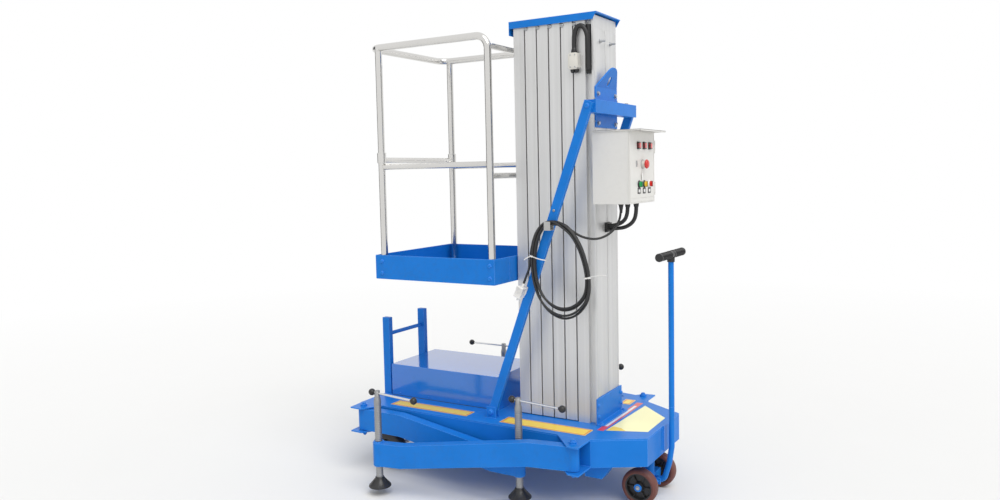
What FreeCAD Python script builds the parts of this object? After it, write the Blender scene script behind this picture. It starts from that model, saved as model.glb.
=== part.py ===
import FreeCAD, Part
import math
import os
import re
import Sketcher

V = FreeCAD.Vector

# Vertical mast lift, mm. +Z up, +X towards the tow handle, origin on the floor
# under the middle of the whole machine.
sizes = {
    # chassis
    "chassis_left": -766, "chassis_shoulder": 505, "chassis_nose": 715,
    "chassis_half": 331, "nose_half": 206, "chassis_low": 206, "deck_top": 330,
    "deck_thick": 6, "frame_wall": 5, "floor_thick": 4,
    # arm pivots, on the near side; the far side is the mirror of it
    "front_pin_away": 460, "front_pin_side": 407, "rear_pin_away": -710,
    "rear_pin_side": 372, "pin_dia": 20, "pin_head_dia": 34, "pin_head_high": 8,
    "plate_thick": 6, "plate_reach": 49, "arm_gap": 3.2,
    # arms and jacks
    "arm_wide": 50, "arm_wall": 4, "arm_drop": 78, "hub_dia": 54, "run_clear": 0.08,
    "seat_clear": 0.3, "outer_reach": 930, "inner_reach": 895, "outer_turn": 10.2,
    "inner_turn": 0.83, "outer_level": 200, "outer_slope_end": 810,
    "inner_level": 240, "inner_slope_end": 760,
    "screw_dia": 34, "screw_top": 457, "neck_dia": 25, "neck_top": 487,
    "handle_dia": 10, "handle_height": 474, "ball_dia": 32, "handle_span": 270,
    "handle_turn": 8, "near_slip": 35, "rear_far_slip": 219, "front_far_slip": 105,
    "foot_low": 35, "foot_high": 46, "foot_dia": 104, "foot_neck_dia": 42,
    # power unit
    "cover_left": -712, "cover_right": -66, "cover_near": -140, "cover_far": 250,
    "cover_top": 493, "cover_wall": 2, "pack_gap": 25,
    # step at the end of the deck
    "step_wide": 42, "step_deep": 28, "step_near": -140, "step_far": 192, "step_top": 732,
    "rung_dia": 20, "rung_drop": 87,
    # mast
    "mast_front": 48, "mast_half": 124, "stage_deep": 55, "stage_gap": 6,
    "rear_stage_deep": 96, "cap_gap": 10, "stage_wall": 4, "foot_lift": 4,
    "slot_wide": 32, "web_wide": 29.4, "flange_wide": 60, "flange_deep": 8,
    "guide_clear": 0.4, "groove_wide": 30, "groove_deep": 20, "groove_edge": 10,
    "stage_top": 2153, "cap_thick": 4, "cap_reach": 19, "cap_side": 10,
    "cap_sheet": 2, "cap_lip": 32, "cap_end_lip": 62,
    # mast foot plate, cross channel, lug and braces
    "shoe_half": 140, "shoe_high": 120, "shoe_thick": 6, "shoe_toe": 36,
    "lug_half": 118, "lug_low": 1664, "lug_fold": 1842, "lug_thick": 6,
    "lug_round": 65, "lug_rise": 34, "lug_lean": 25, "eye_wide": 30, "eye_high": 46,
    "channel_low": 1720, "channel_high": 56, "channel_deep": 50,
    "channel_wall": 4, "brace_inner": 230, "brace_thick": 20, "brace_wide": 40,
    "brace_foot_away": -36, "brace_foot_height": 358, "brace_head_away": 473,
    "brace_head_height": 1750, "brace_over": 20, "ear_wide": 50, "ear_thick": 6,
    "ear_over": 24,
    # junction box and cables on the mast head
    "junction_away": 340, "junction_wide": 46, "junction_deep": 31,
    "junction_low": 1920, "junction_high": 72, "junction_bevel": 8,
    "travel_dia": 21, "loom_dia": 25, "control_dia": 18,
    "grommet_wide": 48, "grommet_high": 40, "grommet_deep": 14, "grommet_low": 1196,
    # cabinet
    "cabinet_half": 150, "cabinet_low": 1326, "cabinet_high": 319,
    "cabinet_deep": 173, "cabinet_wall": 2, "door_thick": 4, "door_edge": 1,
    "hinge_out": 5, "hinge_dia": 10, "hinge_pin_dia": 5, "hinge_long": 50,
    "hinge_inset": 40, "hood_thick": 2, "hood_over": 53, "hood_side": 5,
    "stop_side": 2, "stop_up": 172, "stop_base_dia": 32, "stop_base_long": 18,
    "stop_head_dia": 38, "stop_head_long": 12, "panel_side": 21,
    "lamp_up": 254, "lamp_pitch": 69, "lamp_dia": 26, "lamp_long": 10,
    "switch_up": 84, "switch_pitch": 62, "switch_dia": 24, "switch_long": 16,
    # wheels
    "front_away": 646, "front_dia": 160, "front_wide": 50, "front_side": 120,
    "front_rim_dia": 116, "front_hub_wide": 44, "stub_dia": 20,
    "king_dia": 30, "turntable_dia": 110, "turntable_high": 8, "axle_beam": 36,
    "king_head_dia": 44, "king_head_high": 6,
    "rear_away": -630, "rear_dia": 190, "rear_wide": 50, "rear_side": 275,
    "rear_rim_dia": 120, "rear_hub_wide": 46, "rear_axle_dia": 20,
    "hanger_side": 232, "hanger_thick": 8, "hanger_wide": 70, "washer_thick": 5,
    "washer_dia": 34,
    # tow bar
    "tow_lean": 63, "tow_dia": 25, "tow_top": 1085, "tow_pin_away": 688,
    "tow_pin_height": 75, "tow_pin_dia": 12, "tow_eye_dia": 28, "tow_eye_wide": 26,
    "fork_thick": 7, "tow_bend": 60, "grip_dia": 30, "grip_half": 160,
    "grip_rise": 15, "keeper_wide": 40, "keeper_deep": 7, "keeper_low": 222,
    "keeper_high": 110,
    # basket
    "tray_left": -641, "tray_right": 40, "tray_half": 325, "tray_low": 966,
    "tray_high": 117, "tray_wall": 3, "rail_dia": 34, "mid_dia": 28,
    "rail_height": 2086, "mid_drop": 573, "rail_left": -650, "post_left": -602,
    "post_right": 17, "rail_bend": 60, "end_top_drop": 46,
    "end_mid_drop": 626, "collar_dia": 44, "collar_high": 50,
    "carrier_half": 30, "carrier_high": 36,
    # skid boxes under the chassis
    "skid_left": 445, "skid_right": 575, "skid_toe": 525, "skid_low": 136,
    "skid_inner": 200, "skid_wide": 60,
    # mains cord
    "cord_dia": 11, "coil_dia": 30, "coil_middle": 342, "coil_half_wide": 127,
    "coil_top": 1250, "coil_low": 846, "clip_wide": 30, "clip_sheet": 3,
    "clip_high": 39, "plug_wide": 34, "plug_deep": 24, "plug_long": 48,
    "blade_long": 18, "blade_thick": 2, "blade_wide": 6, "blade_apart": 13,
}

doc = FreeCAD.newDocument("mast_lift")
sheet = doc.addObject("Spreadsheet::Sheet", "Sizes")
for row, (name, value) in enumerate(sizes.items(), start=1):
    sheet.set("A%d" % row, name)
    sheet.set("B%d" % row, str(value))
    sheet.setAlias("B%d" % row, name)
doc.recompute()

s = dict(sizes)
nodes = []


def formula(text):
    """Sheet names in a formula become references to the sheet."""
    return re.sub(r"[a-z_]+", lambda m: "Sizes." + m.group(0)
                  if m.group(0) in sizes else m.group(0), str(text))


def bind(obj, **props):
    for prop, text in props.items():
        obj.setExpression(prop.replace("__", "."), formula(text))


def place(obj, x, y, z, axis=None, angle=0):
    if axis is not None:
        obj.Placement = FreeCAD.Placement(V(), FreeCAD.Rotation(axis, angle))
    bind(obj, Placement__Base__x=x, Placement__Base__y=y, Placement__Base__z=z)
    return obj


def block(name, long, wide, high, x, y, z):
    obj = doc.addObject("Part::Box", name)
    bind(obj, Length=long, Width=wide, Height=high)
    return place(obj, x, y, z)


def rod(name, dia, long, x, y, z, along="Z"):
    obj = doc.addObject("Part::Cylinder", name)
    bind(obj, Radius="(%s) / 2" % dia, Height=long)
    turn = {"Z": (V(0, 0, 1), 0), "X": (V(0, 1, 0), 90), "Y": (V(1, 0, 0), -90)}[along]
    return place(obj, x, y, z, *turn)


def ball(name, dia, x, y, z):
    obj = doc.addObject("Part::Sphere", name)
    bind(obj, Radius="(%s) / 2" % dia)
    return place(obj, x, y, z, V(0, 0, 1), 90)


def cone(name, low_dia, high_dia, high, x, y, z):
    obj = doc.addObject("Part::Cone", name)
    bind(obj, Radius1="(%s) / 2" % low_dia, Radius2="(%s) / 2" % high_dia, Height=high)
    return place(obj, x, y, z)


def join(name, *pieces):
    obj = doc.addObject("Part::MultiFuse", name)
    obj.Shapes = list(pieces)
    return obj


def weld(name, pieces):
    """Pieces joined one after the other."""
    whole = pieces[0]
    for i, piece in enumerate(pieces[1:]):
        obj = doc.addObject("Part::Fuse", "%s_%d" % (name, i))
        obj.Base, obj.Tool = whole, piece
        whole = obj
    return whole


def cut(name, base, *tools):
    obj = doc.addObject("Part::Cut", name)
    obj.Base = base
    obj.Tool = tools[0] if len(tools) == 1 else join(name + "_tools", *tools)
    return obj


def outline(name, plane, points, long, x=0, y=0, z=0):
    """A closed outline on one origin plane, padded. XZ outlines pad towards -Y."""
    body = doc.addObject("PartDesign::Body", name)
    sketch = body.newObject("Sketcher::SketchObject", name + "_sketch")
    role = {"XY": "XY_Plane", "XZ": "XZ_Plane", "YZ": "YZ_Plane"}[plane]
    base = [f for f in body.Origin.OriginFeatures if f.Role == role][0]
    sketch.AttachmentSupport = [(base, "")]
    sketch.MapMode = "FlatFace"
    count = len(points)
    for i in range(count):
        a, b = V(i, i * i, 0), V(i + 1, (i + 1) ** 2, 0)
        sketch.addGeometry(Part.LineSegment(a, b), False)
    for i in range(count):
        sketch.addConstraint(Sketcher.Constraint("Coincident", i, 2, (i + 1) % count, 1))
    for i, (across, up) in enumerate(points):
        for kind, text in (("DistanceX", across), ("DistanceY", up)):
            number = sketch.addConstraint(Sketcher.Constraint(kind, -1, 1, i, 1, 1.0))
            sketch.setExpression("Constraints[%d]" % number, formula(text))
    pad = body.newObject("PartDesign::Pad", name + "_pad")
    pad.Profile = sketch
    bind(pad, Length=long)
    body.Tip = pad
    return place(body, x, y, z)


def tube_path(points, radii):
    """Straight runs joined by tangent arcs, one radius for each inner point."""
    edges, start = [], points[0]
    for i in range(1, len(points) - 1):
        back = (points[i - 1] - points[i]).normalize()
        on = (points[i + 1] - points[i]).normalize()
        half = (math.pi - back.getAngle(on)) / 2
        reach = radii[i - 1] * math.tan(half)
        first, last = points[i] + back * reach, points[i] + on * reach
        inward = (back + on).normalize()
        middle = points[i] + inward * (radii[i - 1] / math.cos(half) - radii[i - 1])
        if (first - start).Length > 0.01:
            edges.append(Part.LineSegment(start, first).toShape())
        edges.append(Part.Arc(first, middle, last).toShape())
        start = last
    edges.append(Part.LineSegment(start, points[-1]).toShape())
    return Part.Wire(edges)


def tube(points, dia, radii):
    path = tube_path(points, radii)
    first = path.Edges[0]
    ring = Part.Wire(Part.makeCircle(dia / 2, first.valueAt(first.FirstParameter),
                                     first.tangentAt(first.FirstParameter)))
    return path.makePipeShell([ring], True, False)


def cord_radii(points):
    """Each arc as large as its two runs allow."""
    radii = []
    for i in range(1, len(points) - 1):
        back, on = points[i - 1] - points[i], points[i + 1] - points[i]
        turn = math.pi - back.getAngle(on)
        radii.append(0.45 * min(back.Length, on.Length) / math.tan(turn / 2))
    return radii


def feature(name, shape):
    obj = doc.addObject("Part::Feature", name)
    obj.Shape = shape
    obj.Placement = FreeCAD.Placement(V(0, 0, 0), FreeCAD.Rotation())
    return obj


def node(name, obj):
    obj.Label = name
    nodes.append((name, obj))
    return obj


# Chassis: a tray of sheet with the arm brackets, the hangers of the rear axle
# and the two skid boxes welded on.
def hexagon(inset):
    lean = (s["chassis_half"] - s["nose_half"]) / (s["chassis_nose"] - s["chassis_shoulder"])
    ease = round(math.sqrt(1 + lean * lean), 6)
    lean = round(lean, 6)
    away = "chassis_shoulder - (%s) * (%s - 1) / %s" % (inset, ease, lean)
    side = "nose_half - (%s) * (%s - %s)" % (inset, ease, lean)
    half, nose = "chassis_half - %s" % inset, "chassis_nose - %s" % inset
    left = "chassis_left + %s" % inset
    return [(left, "-(%s)" % half), (away, "-(%s)" % half), (nose, "-(%s)" % side),
            (nose, side), (away, half), (left, half)]


tray_outer = outline("chassis_outer", "XY", hexagon("0"),
                     "deck_top - deck_thick - chassis_low", 0, 0, "chassis_low")
tray_inner = outline("chassis_inner", "XY", hexagon("frame_wall"),
                     "deck_top - chassis_low", 0, 0, "chassis_low + floor_thick")
king_hole = rod("king_hole", "king_dia + 2 * run_clear", "4 * floor_thick", "front_away",
                0, "chassis_low - 2 * floor_thick")
welded = [cut("chassis_tray", tray_outer, tray_inner, king_hole)]

arm_low, arm_top = "chassis_low + plate_thick + arm_gap", "deck_top - plate_thick - arm_gap"
arm_high = "(%s - (%s))" % (arm_top, arm_low)
for side, sign in (("near", "-"), ("far", "")):
    front = [("front_pin_away - 111", sign + "chassis_half"),
             ("front_pin_away - 7", sign + "(front_pin_side + plate_reach - 4)"),
             ("front_pin_away + plate_reach - 3", sign + "(front_pin_side + plate_reach)"),
             ("front_pin_away + plate_reach - 3", sign + "chassis_half")]
    rear = [("chassis_left + 4", sign + "chassis_half"),
            ("chassis_left + 9", sign + "(rear_pin_side + plate_reach - 2)"),
            ("rear_pin_away + 20", sign + "(rear_pin_side + plate_reach)"),
            ("rear_pin_away + 80", sign + "chassis_half")]
    for where, shape in (("front", front), ("rear", rear)):
        away, out = where + "_pin_away", "%s%s_pin_side" % (sign, where)
        tag = where + "_" + side
        welded += [
            outline(tag + "_top_plate", "XY", shape, "plate_thick",
                    0, 0, "deck_top - plate_thick"),
            outline(tag + "_low_plate", "XY", shape, "plate_thick", 0, 0, "chassis_low"),
            rod(tag + "_pin", "pin_dia", "deck_top - chassis_low + 2 * pin_head_high",
                away, out, "chassis_low - pin_head_high"),
            rod(tag + "_pin_head", "pin_head_dia", "pin_head_high", away, out, "deck_top"),
            rod(tag + "_low_washer", "pin_head_dia", "arm_gap - seat_clear",
                away, out, "chassis_low + plate_thick"),
            rod(tag + "_top_washer", "pin_head_dia", "arm_gap - seat_clear",
                away, out, "deck_top - plate_thick - arm_gap + seat_clear"),
        ]
    inner = "-hanger_side - hanger_thick" if sign else "hanger_side"
    welded.append(cut(
        side + "_hanger",
        block(side + "_hanger_plate", "hanger_wide", "hanger_thick",
              "chassis_low - rear_dia / 2 + hanger_wide / 2",
              "rear_away - hanger_wide / 2", inner, "rear_dia / 2 - hanger_wide / 2"),
        rod(side + "_hanger_hole", "rear_axle_dia", "3 * hanger_thick", "rear_away",
            "%s - hanger_thick" % inner, "rear_dia / 2", "Y")))
    skid = [("skid_left", "skid_low"), ("skid_toe", "skid_low"),
            ("skid_right", "chassis_low"), ("skid_left", "chassis_low")]
    inside = [("skid_left + frame_wall", "skid_low + frame_wall"),
              ("skid_toe - frame_wall / 2", "skid_low + frame_wall"),
              ("skid_right - 2 * frame_wall", "chassis_low + 1"),
              ("skid_left + frame_wall", "chassis_low + 1")]
    edge = "-skid_inner" if sign else "skid_inner + skid_wide"
    welded.append(cut(
        side + "_skid", outline(side + "_skid_box", "XZ", skid, "skid_wide", 0, edge, 0),
        outline(side + "_skid_hollow", "XZ", inside, "skid_wide - 2 * frame_wall", 0,
                "%s - frame_wall" % edge, 0)))
welded += [
    block("keeper", "keeper_deep", "keeper_wide", "keeper_high", "chassis_nose",
          "-keeper_wide / 2", "keeper_low"),
]
node("chassis_frame", weld("chassis_weld", welded))

ears = [outline("deck_sheet", "XY", hexagon("0"), "deck_thick", 0, 0,
                "deck_top - deck_thick")]
for side, sign in (("near", -1), ("far", 1)):
    for where, off in (("inner", "brace_inner - ear_thick - seat_clear"),
                       ("outer", "brace_inner + brace_thick + seat_clear")):
        y = off if sign > 0 else "-(%s) - ear_thick" % off
        ears.append(block("%s_%s_ear" % (side, where), "ear_wide", "ear_thick",
                          "brace_foot_height + ear_over - deck_top",
                          "brace_foot_away - ear_wide / 2", y, "deck_top"))
node("deck_plate", join("deck", *ears))

# Power unit: a sheet cover over one plain block.
node("power_cover", cut(
    "power_cover_cut",
    block("cover_outer", "cover_right - cover_left", "cover_far - cover_near",
          "cover_top - deck_top", "cover_left", "cover_near", "deck_top"),
    block("cover_inner", "cover_right - cover_left - 2 * cover_wall",
          "cover_far - cover_near - 2 * cover_wall", "cover_top - deck_top - cover_wall",
          "cover_left + cover_wall", "cover_near + cover_wall", "deck_top")))
node("power_pack", block(
    "pack_block", "cover_right - cover_left - 2 * pack_gap",
    "cover_far - cover_near - 2 * pack_gap", "cover_top - deck_top - cover_wall - pack_gap",
    "cover_left + pack_gap", "cover_near + pack_gap", "deck_top"))

node("step_frame", join(
    "step",
    block("step_near", "step_wide", "step_deep", "step_top - deck_top",
          "chassis_left + 2", "step_near", "deck_top"),
    block("step_far", "step_wide", "step_deep", "step_top - deck_top",
          "chassis_left + 2", "step_far - step_deep", "deck_top"),
    rod("rung", "rung_dia", "step_far - step_near - 2", "chassis_left + 2 + step_wide / 2",
        "step_near + 1", "step_top - rung_drop", "Y")))

# Mast. Each stage is a hollow profile whose rear rib runs in the slot of the
# stage behind it. Stage 0 is the fixed one at the rear.
pitch = "(stage_deep + stage_gap)"
rear_front = "(mast_front + 5 * %s)" % pitch
rear_face = "(%s + rear_stage_deep)" % rear_front


def slot(tag, front):
    return block(tag, "3 * stage_wall", "slot_wide", "(stage_top + cap_gap)", "%s - stage_wall" % front,
                 "-slot_wide / 2", "deck_top - 10")


groove_start = "%s - groove_edge - groove_wide" % rear_face
core = "%s - stage_wall" % groove_start
node("stage_0", cut(
    "stage_0_cut",
    block("stage_0_outer", "rear_stage_deep", "2 * mast_half", "stage_top - deck_top",
          rear_front, "-mast_half", "deck_top"),
    slot("stage_0_slot", rear_front),
    block("stage_0_core", "%s - %s - stage_wall" % (core, rear_front),
          "2 * (mast_half - stage_wall)", "(stage_top + cap_gap)", "%s + stage_wall" % rear_front,
          "stage_wall - mast_half", "deck_top - 10"),
    block("stage_0_rear_core", "groove_wide + groove_edge",
          "2 * (mast_half - groove_deep - stage_wall)", "(stage_top + cap_gap)", core,
          "groove_deep + stage_wall - mast_half", "deck_top - 10"),
    block("near_groove", "groove_wide", "groove_deep + 5", "(stage_top + cap_gap)", groove_start,
          "-mast_half - 5", "deck_top - 10"),
    block("far_groove", "groove_wide", "groove_deep + 5", "(stage_top + cap_gap)", groove_start,
          "mast_half - groove_deep", "deck_top - 10")))

for i in range(1, 6):
    front = "(mast_front + %d * %s)" % (5 - i, pitch)
    low = "deck_top + foot_lift"
    high = ("stage_top + cap_gap - cap_thick" if i == 5 else "stage_top") + " - deck_top - foot_lift"
    tools = [block("stage_%d_core" % i, "stage_deep - 2 * stage_wall",
                   "2 * (mast_half - stage_wall)", "(stage_top + cap_gap)", "%s + stage_wall" % front,
                   "stage_wall - mast_half", "deck_top - 10")]
    if i < 5:
        tools.append(slot("stage_%d_slot" % i, front))
    shell = cut("stage_%d_shell" % i,
                block("stage_%d_outer" % i, "stage_deep", "2 * mast_half", high,
                      front, "-mast_half", low), *tools)
    node("stage_%d" % i, join(
        "stage_%d_join" % i, shell,
        block("stage_%d_web" % i, "stage_gap + 2 * stage_wall + guide_clear",
              "web_wide", high, "%s + stage_deep - stage_wall" % front,
              "-web_wide / 2", low),
        block("stage_%d_flange" % i, "flange_deep", "flange_wide", high,
              "%s + stage_deep + stage_gap + stage_wall + guide_clear" % front,
              "-flange_wide / 2", low)))

cap_left, cap_right = "(mast_front - cap_reach)", "(%s + cap_reach)" % rear_face
cap_half = "(mast_half + cap_side)"
cap_top = "(stage_top + cap_gap)"
lip = [(cap_left, cap_top + " - cap_lip"), (rear_face, cap_top + " - cap_lip"),
       (cap_right, cap_top), (cap_left, cap_top)]
node("mast_cap", join(
    "cap",
    block("cap_sheet_top", "%s - %s" % (cap_right, cap_left), "2 * " + cap_half,
          "cap_thick", cap_left, "-" + cap_half, "(stage_top + cap_gap) - cap_thick"),
    outline("cap_near_lip", "XZ", lip, "cap_sheet", 0, "cap_sheet - %s" % cap_half, 0),
    outline("cap_far_lip", "XZ", lip, "cap_sheet", 0, cap_half, 0),
    block("cap_front_lip", "cap_sheet", "2 * " + cap_half, "cap_end_lip",
          cap_left, "-" + cap_half, cap_top + " - cap_end_lip")))

node("mast_shoe", join(
    "shoe",
    block("shoe_plate", "shoe_thick", "2 * shoe_half", "shoe_high", rear_face,
          "-shoe_half", "deck_top"),
    block("shoe_sole", "shoe_toe", "2 * shoe_half", "shoe_thick", rear_face,
          "-shoe_half", "deck_top")))

# Lifting lug: flat on the rear face, its tongue leaning away above the fold.
rear_x = s["mast_front"] + 5 * (s["stage_deep"] + s["stage_gap"]) + s["rear_stage_deep"]
rise, radius = s["lug_rise"], s["lug_round"]
angle = math.acos(radius / math.hypot(s["lug_half"], rise)) - math.atan2(rise, s["lug_half"])
right = V(0, radius * math.cos(angle), rise + radius * math.sin(angle))
left = V(0, -right.y, right.z)
edge = Part.Wire([
    Part.LineSegment(V(0, -s["lug_half"], 0), V(0, s["lug_half"], 0)).toShape(),
    Part.LineSegment(V(0, s["lug_half"], 0), right).toShape(),
    Part.Arc(right, V(0, 0, rise + radius), left).toShape(),
    Part.LineSegment(left, V(0, -s["lug_half"], 0)).toShape()])
tongue = Part.Face(edge).extrude(V(s["lug_thick"], 0, 0))
straight = s["eye_high"] - s["eye_wide"]
eye = Part.makeBox(30, s["eye_wide"], straight, V(-10, -s["eye_wide"] / 2, rise - straight / 2))
for end in (rise - straight / 2, rise + straight / 2):
    eye = eye.fuse(Part.makeCylinder(s["eye_wide"] / 2, 30, V(-10, 0, end), V(1, 0, 0)))
tongue = tongue.cut(eye)
tongue.rotate(V(0, 0, 0), V(0, 1, 0), s["lug_lean"])
tongue.translate(V(rear_x, 0, s["lug_fold"]))
plate = Part.makeBox(s["lug_thick"], 2 * s["lug_half"], s["lug_fold"] - s["lug_low"],
                     V(rear_x, -s["lug_half"], s["lug_low"]))
fold = Part.makeCylinder(s["lug_thick"], 2 * s["lug_half"],
                         V(rear_x, -s["lug_half"], s["lug_fold"]), V(0, 1, 0), 90)
fold.rotate(V(rear_x, 0, s["lug_fold"]), V(0, 1, 0), -90)
fold = fold.common(Part.makeBox(2 * s["lug_thick"], 2 * s["lug_half"], s["lug_thick"],
                                V(rear_x, -s["lug_half"], s["lug_fold"] - s["lug_thick"])))
node("lift_lug", feature("lug", plate.fuse([tongue, fold]).removeSplitter()))

node("cross_channel", cut(
    "channel_cut",
    block("channel_outer", "channel_deep", "2 * brace_inner", "channel_high",
          rear_face + " + lug_thick", "-brace_inner", "channel_low"),
    block("channel_inner", "channel_deep - 2 * channel_wall",
          "2 * (brace_inner - channel_wall)", "channel_high - 2 * channel_wall",
          rear_face + " + lug_thick + channel_wall", "channel_wall - brace_inner",
          "channel_low + channel_wall")))

# Braces from the deck ears up to the ends of the cross channel.
run = "(brace_head_away - brace_foot_away)"
climb = "(brace_head_height - brace_foot_height)"
slant = "sqrt(%s ^ 2 + %s ^ 2)" % (run, climb)
lean_x, lean_z = "(%s / %s)" % (run, slant), "(%s / %s)" % (climb, slant)
low_x = "brace_foot_away - brace_over * " + lean_x
low_z = "brace_foot_height - brace_over * " + lean_z
high_x = "brace_head_away + brace_over * " + lean_x
high_z = "brace_head_height + brace_over * " + lean_z
half_x, half_z = "brace_wide / 2 * " + lean_z, "brace_wide / 2 * " + lean_x
bar = [("%s - %s" % (low_x, half_x), "%s + %s" % (low_z, half_z)),
       ("%s + %s" % (low_x, half_x), "%s - %s" % (low_z, half_z)),
       ("%s + %s" % (high_x, half_x), "%s - %s" % (high_z, half_z)),
       ("%s - %s" % (high_x, half_x), "%s + %s" % (high_z, half_z))]
node("brace_near", outline("near_brace", "XZ", bar, "brace_thick", 0, "-brace_inner", 0))
node("brace_far", outline("far_brace", "XZ", bar, "brace_thick", 0,
                          "brace_inner + brace_thick", 0))

# Junction box with bevelled corners on the near side of the fixed profile.
b, w, h = "junction_bevel", "junction_wide", "junction_high"
face = [(b, "0"), ("%s - %s" % (w, b), "0"), (w, b), (w, "%s - %s" % (h, b)),
        ("%s - %s" % (w, b), h), (b, h), ("0", "%s - %s" % (h, b)), ("0", b)]
node("junction_box", outline("junction", "XZ", face, "junction_deep", "junction_away",
                             "-mast_half", "junction_low"))

groove_mid = rear_x - s["groove_edge"] - s["groove_wide"] / 2
start = V(s["junction_away"] + s["junction_wide"] / 2,
          -s["mast_half"] - s["junction_deep"] / 2, s["junction_low"] + s["junction_high"])
loop = [start, start + V(0, 0, 60), V(start.x + 12, start.y + 1, start.z + 108),
        V(groove_mid - 10, start.y + 2, start.z + 112),
        V(groove_mid + 4, start.y + 3, start.z + 62),
        V(groove_mid + 4, start.y + 4, start.z - 10),
        V(groove_mid + 3, start.y + 6, start.z - 72)]
loom_y = s["groove_deep"] - s["mast_half"] - s["loom_dia"] / 2 - 0.3
loom = [V(groove_mid - 1, loom_y, start.z + 118), V(groove_mid - 1, loom_y, start.z + 20),
        V(groove_mid + 1, loom_y, start.z - 92)]
strand = tube(loop, s["travel_dia"], cord_radii(loop))
core_strand = tube(loom, s["loom_dia"], cord_radii(loom))
print("travel loop radii", [round(r) for r in cord_radii(loop)])
node("travel_cable", feature("travel", Part.makeCompound([strand, core_strand])
                             if strand.common(core_strand).Volume < 0.01
                             else strand.fuse(core_strand)))

# Control cabinet on the rear face: body open to the front, door, rain hood.
cab_x = rear_face
mouth = "%s + cabinet_deep - door_thick - seat_clear" % cab_x
hinge_x = "(%s + cabinet_deep - door_thick / 2)" % cab_x
hinge_y = "(cabinet_half + hinge_out)"
shell = cut("cabinet_cut",
            block("cabinet_outer", "%s - (%s)" % (mouth, cab_x), "2 * cabinet_half",
                  "cabinet_high", cab_x, "-cabinet_half", "cabinet_low"),
            block("cabinet_inner", "cabinet_deep", "2 * (cabinet_half - cabinet_wall)",
                  "cabinet_high - 2 * cabinet_wall", cab_x + " + cabinet_wall",
                  "cabinet_wall - cabinet_half", "cabinet_low + cabinet_wall"))
lugs, knuckles = [], []
for i, z in ((1, "cabinet_low + hinge_inset"),
             (2, "cabinet_low + cabinet_high - hinge_inset - hinge_long")):
    lugs += [rod("hinge_pin_%d" % i, "hinge_pin_dia", "hinge_long + 8", hinge_x, hinge_y,
                 z + " - 8"),
             block("hinge_lug_%d" % i, "hinge_dia / 2 + 3 + hinge_pin_dia / 2",
                   "hinge_out + hinge_dia / 2", "8",
                   "%s - hinge_dia / 2 - 3" % hinge_x, "cabinet_half", z + " - 8.3")]
    knuckles += [rod("knuckle_%d" % i, "hinge_dia", "hinge_long", hinge_x, hinge_y, z),
                 block("knuckle_leaf_%d" % i, "door_thick", "hinge_out + 4", "hinge_long",
                       "%s + cabinet_deep - door_thick" % cab_x, "cabinet_half - 4", z)]
node("cabinet_body", join("cabinet", shell, *lugs))
door = block("door_sheet", "door_thick", "2 * (cabinet_half - door_edge)",
             "cabinet_high - 2 * door_edge", "%s + cabinet_deep - door_thick" % cab_x,
             "door_edge - cabinet_half", "cabinet_low + door_edge")
node("cabinet_door", cut(
    "door_cut", join("door_join", door, *knuckles),
    rod("hinge_bore", "hinge_pin_dia + 2 * run_clear", "cabinet_high", hinge_x, hinge_y,
        "cabinet_low")))
node("cabinet_hood", block(
    "hood", "cabinet_deep + hood_over", "2 * (cabinet_half + hood_side)", "hood_thick",
    cab_x, "-cabinet_half - hood_side", "cabinet_low + cabinet_high"))
panel = "%s + cabinet_deep" % cab_x
node("stop_button", join(
    "stop",
    rod("stop_base", "stop_base_dia", "stop_base_long", panel, "stop_side",
        "cabinet_low + stop_up", "X"),
    rod("stop_head", "stop_head_dia", "stop_head_long", panel + " + stop_base_long",
        "stop_side", "cabinet_low + stop_up", "X")))
for label, row in (("lamp_row", "lamp"), ("switch_row", "switch")):
    bar_z = "cabinet_low + %s_up - %s_dia / 2 - 3" % (row, row)
    pieces = [block(row + "_strip", "1.5", "2 * %s_pitch + %s_dia + 6" % (row, row),
                    row + "_dia + 6", panel, "panel_side - %s_pitch - %s_dia / 2 - 3"
                    % (row, row), bar_z)]
    for i in (-1, 0, 1):
        pieces.append(rod("%s_%d" % (row, i + 2), row + "_dia", row + "_long", panel,
                          "panel_side + %d * %s_pitch" % (i, row),
                          "cabinet_low + %s_up" % row, "X"))
    node(label, join(row + "_join", *pieces))

# Control cables from the cabinet floor into a rubber grommet on the mast.
low = s["cabinet_low"] - s["seat_clear"]
cab_start = rear_x + s["lug_thick"]
grip_z = s["grommet_low"] + s["grommet_high"] / 2
mouth_x = rear_x + s["grommet_deep"] + 2 * s["seat_clear"]
first = [V(cab_start + 105, -22, low), V(cab_start + 105, -22, low - 38),
         V(cab_start + 92, -19, low - 70), V(cab_start + 62, -14, low - 92),
         V(mouth_x + 14, -10, grip_z + 6), V(mouth_x, -9, grip_z + 6)]
second = [V(cab_start + 132, 12, low), V(cab_start + 133, 12, low - 44),
          V(cab_start + 118, 11, low - 84), V(cab_start + 78, 10, low - 112),
          V(mouth_x + 16, 9, grip_z - 7), V(mouth_x, 9, grip_z - 7)]
print("control cable radii", [round(r) for r in cord_radii(first) + cord_radii(second)])
node("control_cables", feature("control", Part.makeCompound(
    [tube(first, s["control_dia"], cord_radii(first)),
     tube(second, s["control_dia"], cord_radii(second))])))
node("cable_grommet", block("grommet", "grommet_deep", "grommet_wide", "grommet_high",
                            rear_face, "-grommet_wide / 2", "grommet_low"))

# Mains cord: lead, hanging coil, free tail and plug.
brace_out = s["brace_inner"] + s["brace_thick"]
coil_y = -brace_out - s["clip_sheet"] - s["coil_dia"] / 2 - 0.3
mid, wide = s["coil_middle"], s["coil_half_wide"]
top, bottom = s["coil_top"], s["coil_low"]
tall = top - bottom
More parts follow.
